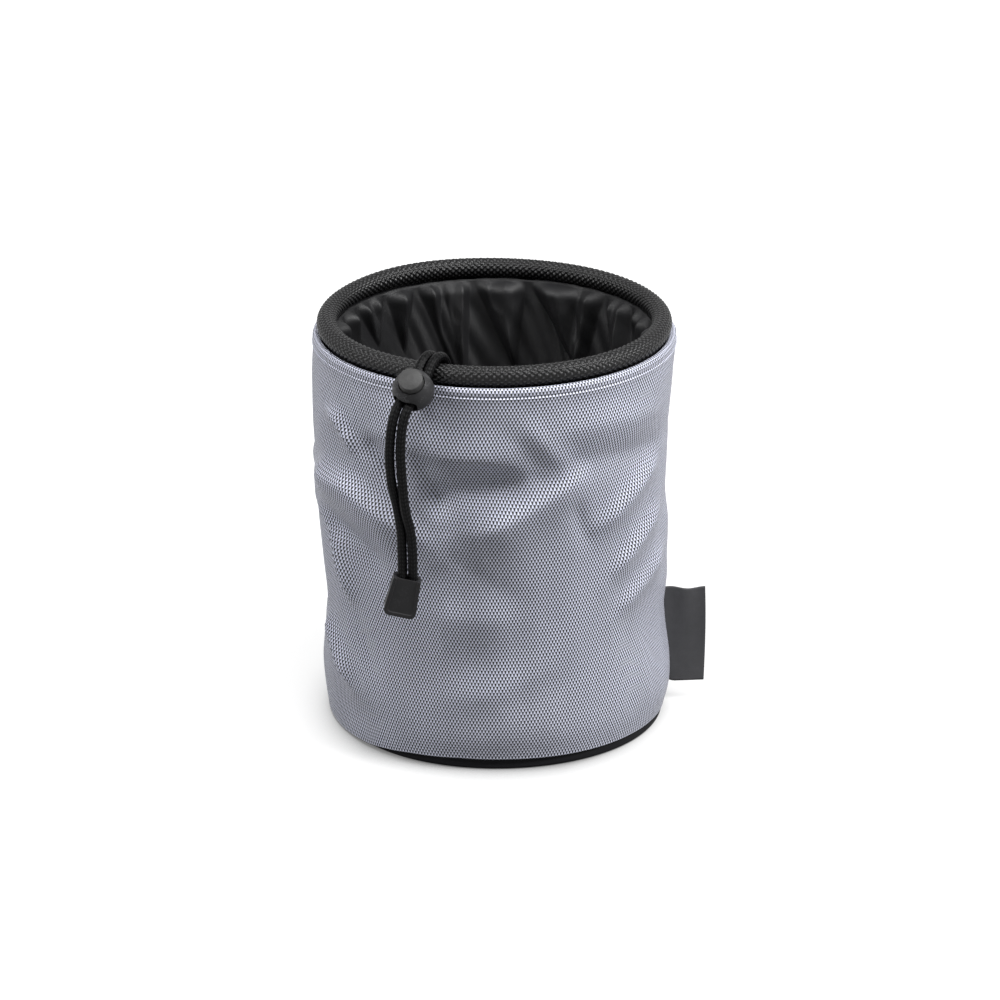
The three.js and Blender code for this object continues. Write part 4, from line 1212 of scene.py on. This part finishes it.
class PEGBAG_OT_outer_shell(PegBagOperator):
    """Sews the grey outer shell, with its rolled lip, hem, side seam and folds."""

    bl_idname = "pegbag.outer_shell"
    bl_label = "Outer shell"

    def execute(self, context):
        cloth = context.scene.pegbag_cloth
        angle = self.angles()
        radius, height = self.outline()
        grid_angle, grid_height = np.meshgrid(angle, height)
        out = self.outer_face(len(radius))[:, None]
        seam = self.seam(grid_angle) * smoothstep(HEM_HEIGHT, HEM_HEIGHT + 4 * MM, grid_height)
        push = (wall_push(cloth, grid_angle, grid_height) + seam) * out
        line = (LIP_TOP - LIP_LINE_DROP) / MM
        ridge = share_up(grid_height, line, spread=0.3)
        groove = share_up(grid_height, line + 0.8, spread=0.4)
        push += cloth.lip_line * (ridge - groove) * out
        points = round_points(grid_angle, radius[:, None] + push, grid_height)
        points[..., 0] -= cloth.lean * leaning(grid_height) + cloth.rim_shift * rim_share(grid_height)
        points[..., 2] += self.hem_lift(angle) * (1 - smoothstep(HEM_HEIGHT, 24 * MM, grid_height))
        run = run_along(radius, height)
        u = np.append(angle, angle[0] + TURN) / TURN
        shell = grid_piece("outer_shell_cloth", points, u, run / run[-1])
        thicken(shell, cloth.shell_thickness)
        warps = 2 * round(math.pi * MOUTH_RADIUS / cloth.warp_pitch)
        material = grey_weave(context.scene.pegbag_finishes, warps, round(run[-1] / cloth.weft_pitch))
        dress(shell, material, "bag", "grey_weave", "outer_shell")
        return {"FINISHED"}

    def angles(self):
        """Angles round the shell, closer together at the side seam."""
        even = angles_round(count=328)
        near = SIDE_SEAM + np.linspace(-4, 4, 15) * MM / MOUTH_RADIUS
        away = even[np.abs(even - SIDE_SEAM) > 5 * MM / MOUTH_RADIUS]
        return np.sort(np.concatenate([away, near]))

    def outline(self):
        """Radius and height from the turned hem up the wall, over the lip and down its inner ply."""
        profile = wall_profile()
        roll = (MOUTH_RADIUS - LIP_ROLL) * LIP_SHARE
        wall = np.concatenate([
            np.linspace(HEM_HEIGHT, 14 * MM, 8, endpoint=False),
            np.linspace(14 * MM, LIP_TOP - 7 * MM, 92, endpoint=False),
            np.linspace(LIP_TOP - 7 * MM, LIP_TOP - roll, 26),
        ])
        hem_angle = np.linspace(-math.pi, -0.2, 4)
        lip_angle = np.linspace(0, math.pi, 14)[1:]
        lip_middle = MOUTH_RADIUS - roll
        ply = np.linspace(LIP_TOP - roll, LIP_TOP - LIP_INNER_PLY, 5)[1:]
        radius = (
            profile[0, 0] + HEM_ROLL * (np.cos(hem_angle) - 1),
            np.interp(wall, profile[:, 2], profile[:, 0]),
            lip_middle + roll * np.cos(lip_angle),
            np.full(len(ply), lip_middle - roll),
        )
        height = (
            HEM_HEIGHT + HEM_ROLL * np.sin(hem_angle),
            wall,
            LIP_TOP - roll + roll * np.sin(lip_angle),
            ply,
        )
        return np.concatenate(radius), np.concatenate(height)

    def outer_face(self, rows):
        """One on the wall's rows, and nothing on the inner ply of the lip."""
        inner_rows = 14
        face = np.ones(rows)
        face[-inner_rows:] = 0
        return face

    def hem_lift(self, angle):
        """How far the hem lies above its height in the frame."""
        degrees, height = np.array(HEM).T
        place = (np.degrees(angle) + 180) % 360 - 180
        return (np.interp(place, degrees, height) * MM - HEM_HEIGHT)[None, :]

    def seam(self, angle):
        """The side seam: a groove between two slightly raised allowances."""
        x = (angle - SIDE_SEAM) * MOUTH_RADIUS / MM
        allowance, allowance_width = 0.35 * MM, 3
        groove, groove_width = 0.85 * MM, 0.7
        raised = allowance * np.exp(-((x / allowance_width) ** 2))
        return raised - groove * np.exp(-((x / groove_width) ** 2))


class PEGBAG_OT_base(PegBagOperator):
    """Makes the black base, and finishes the boards in the base and in the rim."""

    bl_idname = "pegbag.base"
    bl_label = "Base"

    def execute(self, context):
        cloth = context.scene.pegbag_cloth
        finishes = context.scene.pegbag_finishes
        corner, flat_rows, columns = BASE_CORNER, 20, 192
        bend = np.linspace(-math.pi / 2, 0, 10)
        flange = np.linspace(corner, FLANGE_TOP, 13)[1:]
        radius = np.concatenate([
            np.linspace(0, BASE_RADIUS - corner, flat_rows, endpoint=False),
            BASE_RADIUS - corner + corner * np.cos(bend),
            BASE_RADIUS - cloth.flange_lean * smoothstep(corner, 4 * MM, flange),
        ])
        height = np.concatenate([np.zeros(flat_rows), corner + corner * np.sin(bend), flange])
        angle = angles_round(columns)
        upright = smoothstep(1 * MM, 5 * MM, height)[:, None]
        waver = cloth.flange_waver * np.sin(7 * angle + 1)[None, :] * upright
        tuck = cloth.corner_tuck + BASE_TUCK
        drawn_in = tuck * corner_share(angle)[None, :] * (radius[:, None] / BASE_RADIUS) ** 4
        points = round_points(angle[None, :], radius[:, None] - waver - drawn_in, height[:, None])
        run = run_along(radius, height)
        base = grid_piece("base_cloth", points, lap(columns), run / run[-1])
        merge_doubles(base)
        thicken(base, cloth.base_thickness)
        weave = {"warps": 900, "wefts": 180, "depth": 0.08 * MM}
        material = fine_cloth("base_cloth", finishes.base, **weave, roughness=0.6, specular_ior_level=0.08)
        dress(base, material, "bag", "black_cloth", "base_panel")
        self.finish_board(finishes)
        return {"FINISHED"}

    def finish_board(self, finishes):
        board = extruded_board(finishes)
        for node in ("base_stiffener", "rim_hoop"):
            for slot in frame["nodes"][node].material_slots:
                slot.material = board


class PEGBAG_OT_rim(PegBagOperator):
    """Braids the rope round the rim and the welt that holds it."""

    bl_idname = "pegbag.rim"
    bl_label = "Rim"

    def execute(self, context):
        braid = context.scene.pegbag_braid
        finishes = context.scene.pegbag_finishes
        columns = braid.rope_columns * ROPE_SAMPLES
        rows = braid.rope_stitches * ROPE_SAMPLES
        around = np.arange(columns) / columns
        turn = np.arange(rows) / rows
        grid_around, grid_turn = np.meshgrid(around, turn)
        slant = grid_turn * braid.rope_stitches
        along = grid_around * braid.rope_columns
        relief = diamond_braid(along + slant, along - slant)
        section = braid.rope_radius - braid.rope_relief * (1 - relief)
        centre = ROPE_TOP - braid.rope_radius
        radius = ROPE_RING + section * np.cos(grid_turn * TURN)
        height = centre + section * np.sin(grid_turn * TURN)
        points = round_points(grid_around * TURN, radius, height)
        cloth = context.scene.pegbag_cloth
        points[..., 0] -= cloth.rim_shift
        points[..., 2] += cloth.rim_lift * share_round(around * TURN, middle=214, spread=26)
        rope = grid_piece("rim_rope_braid", points, lap(columns), lap(rows), closed=True)
        add_relief(rope, relief)
        material = braided_yarn("rope_yarn", finishes.rope, specular=0.19, roughness=0.27)
        dress(rope, material, "bag", "black_braid", "rim_rope")
        self.welt(context, centre - braid.rope_radius)
        return {"FINISHED"}

    def welt(self, context, top):
        """The two sewn edges of the sleeve, between the lip and the lining."""
        half, columns = WELT_HALF, 240
        corner = np.linspace(0, math.pi, 7)
        radius = np.concatenate([[ROPE_RING + half], ROPE_RING + half * np.cos(corner), [ROPE_RING - half]])
        height = np.concatenate([[WELT_FOOT], top + 0.5 * MM * np.sin(corner), [WELT_FOOT]])
        points = round_points(angles_round(columns)[None, :], radius[:, None], height[:, None])
        points[..., 0] -= context.scene.pegbag_cloth.rim_shift
        run = run_along(radius, height)
        v = np.append(run, run[-1] + 2 * half) / run[-1]
        welt = grid_piece("rim_welt", points, lap(columns), v, closed=True)
        black = context.scene.pegbag_finishes.base
        weave = {"warps": 1200, "wefts": 40, "depth": 0.08 * MM}
        material = fine_cloth("welt_cloth", black, **weave, roughness=0.65, specular_ior_level=0.06)
        dress(welt, material, "bag", "black_cloth")


class PEGBAG_OT_lining(PegBagOperator):
    """Hangs the lining and lays its floor."""

    bl_idname = "pegbag.lining"
    bl_label = "Lining"

    def execute(self, context):
        cloth = context.scene.pegbag_cloth
        material = satin(context)
        self.wall(cloth, material)
        self.floor(cloth, material)
        return {"FINISHED"}

    def wall(self, cloth, material):
        columns, rows = 300, 70
        angle = angles_round(columns)
        height = np.linspace(FLOOR_LOW, LINING_TOP, rows)
        z = height[:, None] / MM
        slack = smoothstep(8, 40, z) * (1 - smoothstep(120, 150, z))
        wrinkle = np.sin(13 * angle + 1.1 * np.sin(3 * angle) + 0.012 * z) * np.sin(0.03 * z + 2 * angle)
        inset, taper, sag, wrinkle_depth = 0.3 * MM, 0.6 * MM, 0.9 * MM, 0.7 * MM
        radius = LINING_RADIUS - inset - smoothstep(60, 180, z) * taper
        radius = radius - (sag + wrinkle_depth * wrinkle) * slack
        drawn_in = (cloth.corner_tuck + LINING_TUCK) * corner_share(angle)[None, :]
        radius = radius - drawn_in * (1 - smoothstep(18, 50, z))
        profile = wall_profile()
        grid_angle, grid_height = np.meshgrid(angle, height)
        outer = np.interp(grid_height, profile[:, 2], profile[:, 0])
        outer = outer + wall_push(cloth, grid_angle, grid_height)
        outer = outer - cloth.lean * leaning(grid_height) * np.sin(grid_angle)
        # The folds fade towards the hem, so less room is left there
        room = cloth.clearance * (0.3 + 0.7 * smoothstep(15, 40, z))
        radius = np.minimum(radius, outer - cloth.shell_thickness - room)
        points = round_points(angle[None, :], radius, height[:, None])
        points[..., 0] -= cloth.rim_shift * rim_share(height[:, None])
        wall = grid_piece("lining_cloth", points, lap(columns), np.linspace(0, 1, rows))
        thicken(wall, cloth.lining_thickness)
        dress(wall, material, "bag", "black_satin", "lining_wall")

    def floor(self, cloth, material):
        columns, rows = 180, 30
        angle = angles_round(columns)
        share = np.linspace(1, 0, rows)[:, None]
        ripple = np.sin(3 * angle + 5 * share) * np.sin(9 * share + 1) * share
        sunk, ripple_depth = 0.1 * MM, 0.25 * MM
        height = FLOOR_HIGH - sunk + ripple_depth * ripple
        reach = FLOOR_RADIUS - (cloth.corner_tuck + LINING_TUCK) * corner_share(angle)[None, :]
        points = round_points(angle[None, :], reach * share, height)
        floor = grid_piece("lining_floor_cloth", points, lap(columns), np.linspace(0, 1, rows))
        merge_doubles(floor)
        thicken(floor, cloth.lining_thickness)
        dress(floor, material, "bag", "black_satin", "lining_floor")


class PEGBAG_OT_collar(PegBagOperator):
    """Gathers the collar and its channel."""

    bl_idname = "pegbag.collar"
    bl_label = "Collar"

    def execute(self, context):
        cloth = context.scene.pegbag_cloth
        material = satin(context)
        self.band(cloth, material)
        self.channel(cloth, material)
        return {"FINISHED"}

    def band(self, cloth, material):
        """The gathered band: puffs between pinched creases, which fall slack and are drawn in at the cord."""
        columns, rows = 880, 56
        angle = angles_round(columns)[None, :]
        down = np.linspace(0, 1, rows)[:, None]
        puff = self.puffs(angle, down)
        top_radius = LINING_RADIUS - COLLAR_INSET
        radius = top_radius + (CHANNEL_RADIUS + 1 * MM - top_radius) * down
        radius = radius - cloth.puff_depth * puff * smoothstep(0, 0.12, down)
        slack = np.sin(7 * angle + 1.7 * np.sin(3 * angle) + 3 * down) * np.sin(math.pi * down)
        radius = radius + cloth.slack_depth * slack
        crumple = np.sin(31 * angle + 9 * down + 2 * np.sin(7 * angle)) * np.sin(13 * angle + 7 * down + 0.5)
        radius = radius + cloth.crumple_depth * crumple * smoothstep(0.05, 0.25, down)
        gather = np.cos(cloth.gathers * angle + 1.5 * np.sin(11 * angle)) * smoothstep(0.6, 1, down)
        radius = radius + cloth.gather_depth * gather
        top = COLLAR_TOP + COLLAR_RISE
        lift = cloth.puff_lift * puff * np.exp(-(((down - 0.09) / 0.07) ** 2))
        height = top - (top - COLLAR_FOOT) * down + lift
        points = round_points(angle, radius, height)
        points[..., 0] -= cloth.rim_shift * rim_share(height)
        band = grid_piece("collar_cloth", points[::-1], lap(columns), np.linspace(0, 1, rows))
        thicken(band, cloth.lining_thickness)
        dress(band, material, "bag", "black_satin", "collar")

    def puffs(self, angle, down):
        """How far the band puffs out between its pinches, from 0 to 1: each puff narrows to a point below."""
        drop = down * (COLLAR_TOP - COLLAR_FOOT)
        height = np.full(np.broadcast(angle, down).shape, 1.0)
        for pinch in PINCHES:
            middle = np.radians(pinch.at + pinch.slant * down)
            away = np.abs((angle - middle + math.pi) % TURN - math.pi) * LINING_RADIUS
            open_by = pinch.spread * np.minimum(drop, pinch.reach * MM)
            rise = 1 - np.exp(-((np.clip(away - open_by, 0, None) / CREASE_WIDTH) ** 1.5))
            height = np.minimum(height, 1 - pinch.depth * (1 - rise))
        return height

    def channel(self, cloth, material):
        """The hem tunnel round the drawcord, puckered where it is drawn up."""
        start = CHANNEL_MOUTH + CHANNEL_MOUTH_HALF
        end = CHANNEL_MOUTH - CHANNEL_MOUTH_HALF + TURN
        columns, rows = 520, 28
        angle = np.linspace(start, end, columns)
        turn = angles_round(rows)
        drawn = np.sin(88 * angle + 2 * np.sin(9 * angle))[None, :]
        pucker = drawn * (0.5 + 0.5 * np.cos(turn - 0.8))[:, None]
        section = CHANNEL_SECTION - 0.3 * MM + PUCKER_DEPTH * pucker
        radius = CHANNEL_RADIUS + section * np.cos(turn)[:, None]
        height = CHANNEL_HEIGHT + section * np.sin(turn)[:, None]
        points = round_points(angle[None, :], radius, height)
        u = np.linspace(0, 1, columns)
        channel = grid_piece("collar_channel_cloth", points, u, lap(rows), ring=False, closed=True)
        thicken(channel, cloth.lining_thickness / 2)
        dress(channel, material, "bag", "black_satin", "collar_channel")


class PEGBAG_OT_side_label(PegBagOperator):
    """Folds the bare label that is sewn into the side seam."""

    bl_idname = "pegbag.side_label"
    bl_label = "Side label"

    def execute(self, context):
        cloth = context.scene.pegbag_cloth
        out = Vector((math.sin(SIDE_SEAM), -math.cos(SIDE_SEAM), 0))
        across = Vector((-out.y, out.x, 0))
        reach = LABEL_HIGH.x / out.x
        inner, gap = MOUTH_RADIUS - LABEL_TUCK, LABEL_GAP
        share, side = self.fold_line(reach - inner, gap)
        rows = np.linspace(0, 1, 56)
        upward = rows[:, None]
        low, high = LABEL_LOW.z, LABEL_HIGH.z
        corner = np.clip(1 - share / 0.32, 0, 1) ** 2 * np.clip(1 - upward / 0.2, 0, 1)
        corner_lift, corner_curl, wave, cut_in = 2.4 * MM, 1.4 * MM, 0.5 * MM, 0.5 * MM
        swing, flutter = 0.9 * MM, 0.35 * MM
        height = low + (high - low) * upward + corner_lift * corner
        height = height + upward**4 * wave * np.sin(7 * share + 0.4)
        distance = inner + (reach - inner) * share - cut_in * (2 * upward - 1) ** 2 * share
        sway = swing * np.sin(4.2 * upward + 0.8) * share + corner_curl * corner
        sideways = side + (sway + flutter * np.sin(9 * share) * upward)
        points = np.stack([
            distance * out.x + sideways * across.x,
            distance * out.y + sideways * across.y,
            np.broadcast_to(height, distance.shape),
        ], axis=-1)
        u = np.linspace(0, 1, points.shape[1])
        label = grid_piece("side_label_tape", points, u, rows, ring=False)
        thicken(label, cloth.label_thickness)
        material = woven_tape(context.scene.pegbag_finishes, warps=90, wefts=120)
        dress(label, material, "bag", "label_tape", "side_label")
        return {"FINISHED"}

    def fold_line(self, width, gap):
        """Shares of the width and sideways places along the tape: out on one ply, round the fold, back."""
        fold = 2 * gap / width
        straight = np.linspace(0, 1 - fold, 24)
        ply = np.full(len(straight), gap)
        turn = np.linspace(-math.pi / 2, math.pi / 2, 9)[1:-1]
        share = np.concatenate([straight, 1 - fold + fold * np.cos(turn), straight[::-1]])
        side = np.concatenate([-ply, gap * np.sin(turn), ply])
        return share[None, :], side[None, :]


class PEGBAG_PT_sidebar(bpy.types.Panel):
    """Lists the peg bag's operators."""

    bl_idname = "PEGBAG_PT_sidebar"
    bl_label = "Peg Bag"
    bl_space_type = "VIEW_3D"
    bl_region_type = "UI"
    bl_category = "Peg Bag"

    def draw(self, context):
        for operator in OPERATORS:
            self.layout.operator(operator.bl_idname)


GROUPS = {
    "pegbag_cloth": PEGBAG_PG_cloth,
    "pegbag_braid": PEGBAG_PG_braid,
    "pegbag_fittings": PEGBAG_PG_fittings,
    "pegbag_finishes": PEGBAG_PG_finishes,
    "pegbag_stage": PEGBAG_PG_stage,
}
OPERATORS = (
    PEGBAG_OT_stage,
    PEGBAG_OT_cord_lock,
    PEGBAG_OT_cord_end,
    PEGBAG_OT_drawcord,
    PEGBAG_OT_outer_shell,
    PEGBAG_OT_base,
    PEGBAG_OT_rim,
    PEGBAG_OT_lining,
    PEGBAG_OT_collar,
    PEGBAG_OT_side_label,
)


def register():
    for name, group in GROUPS.items():
        bpy.utils.register_class(group)
        setattr(bpy.types.Scene, name, PointerProperty(type=group))
    for entry in (*OPERATORS, PEGBAG_PT_sidebar):
        bpy.utils.register_class(entry)


def unregister():
    for entry in (PEGBAG_PT_sidebar, *reversed(OPERATORS)):
        bpy.utils.unregister_class(entry)
    for name, group in GROUPS.items():
        delattr(bpy.types.Scene, name)
        bpy.utils.unregister_class(group)


def main():
    register()
    for operator in OPERATORS:
        getattr(bpy.ops.pegbag, operator.bl_idname.split(".")[1])()


if __name__ == "__main__":
    main()
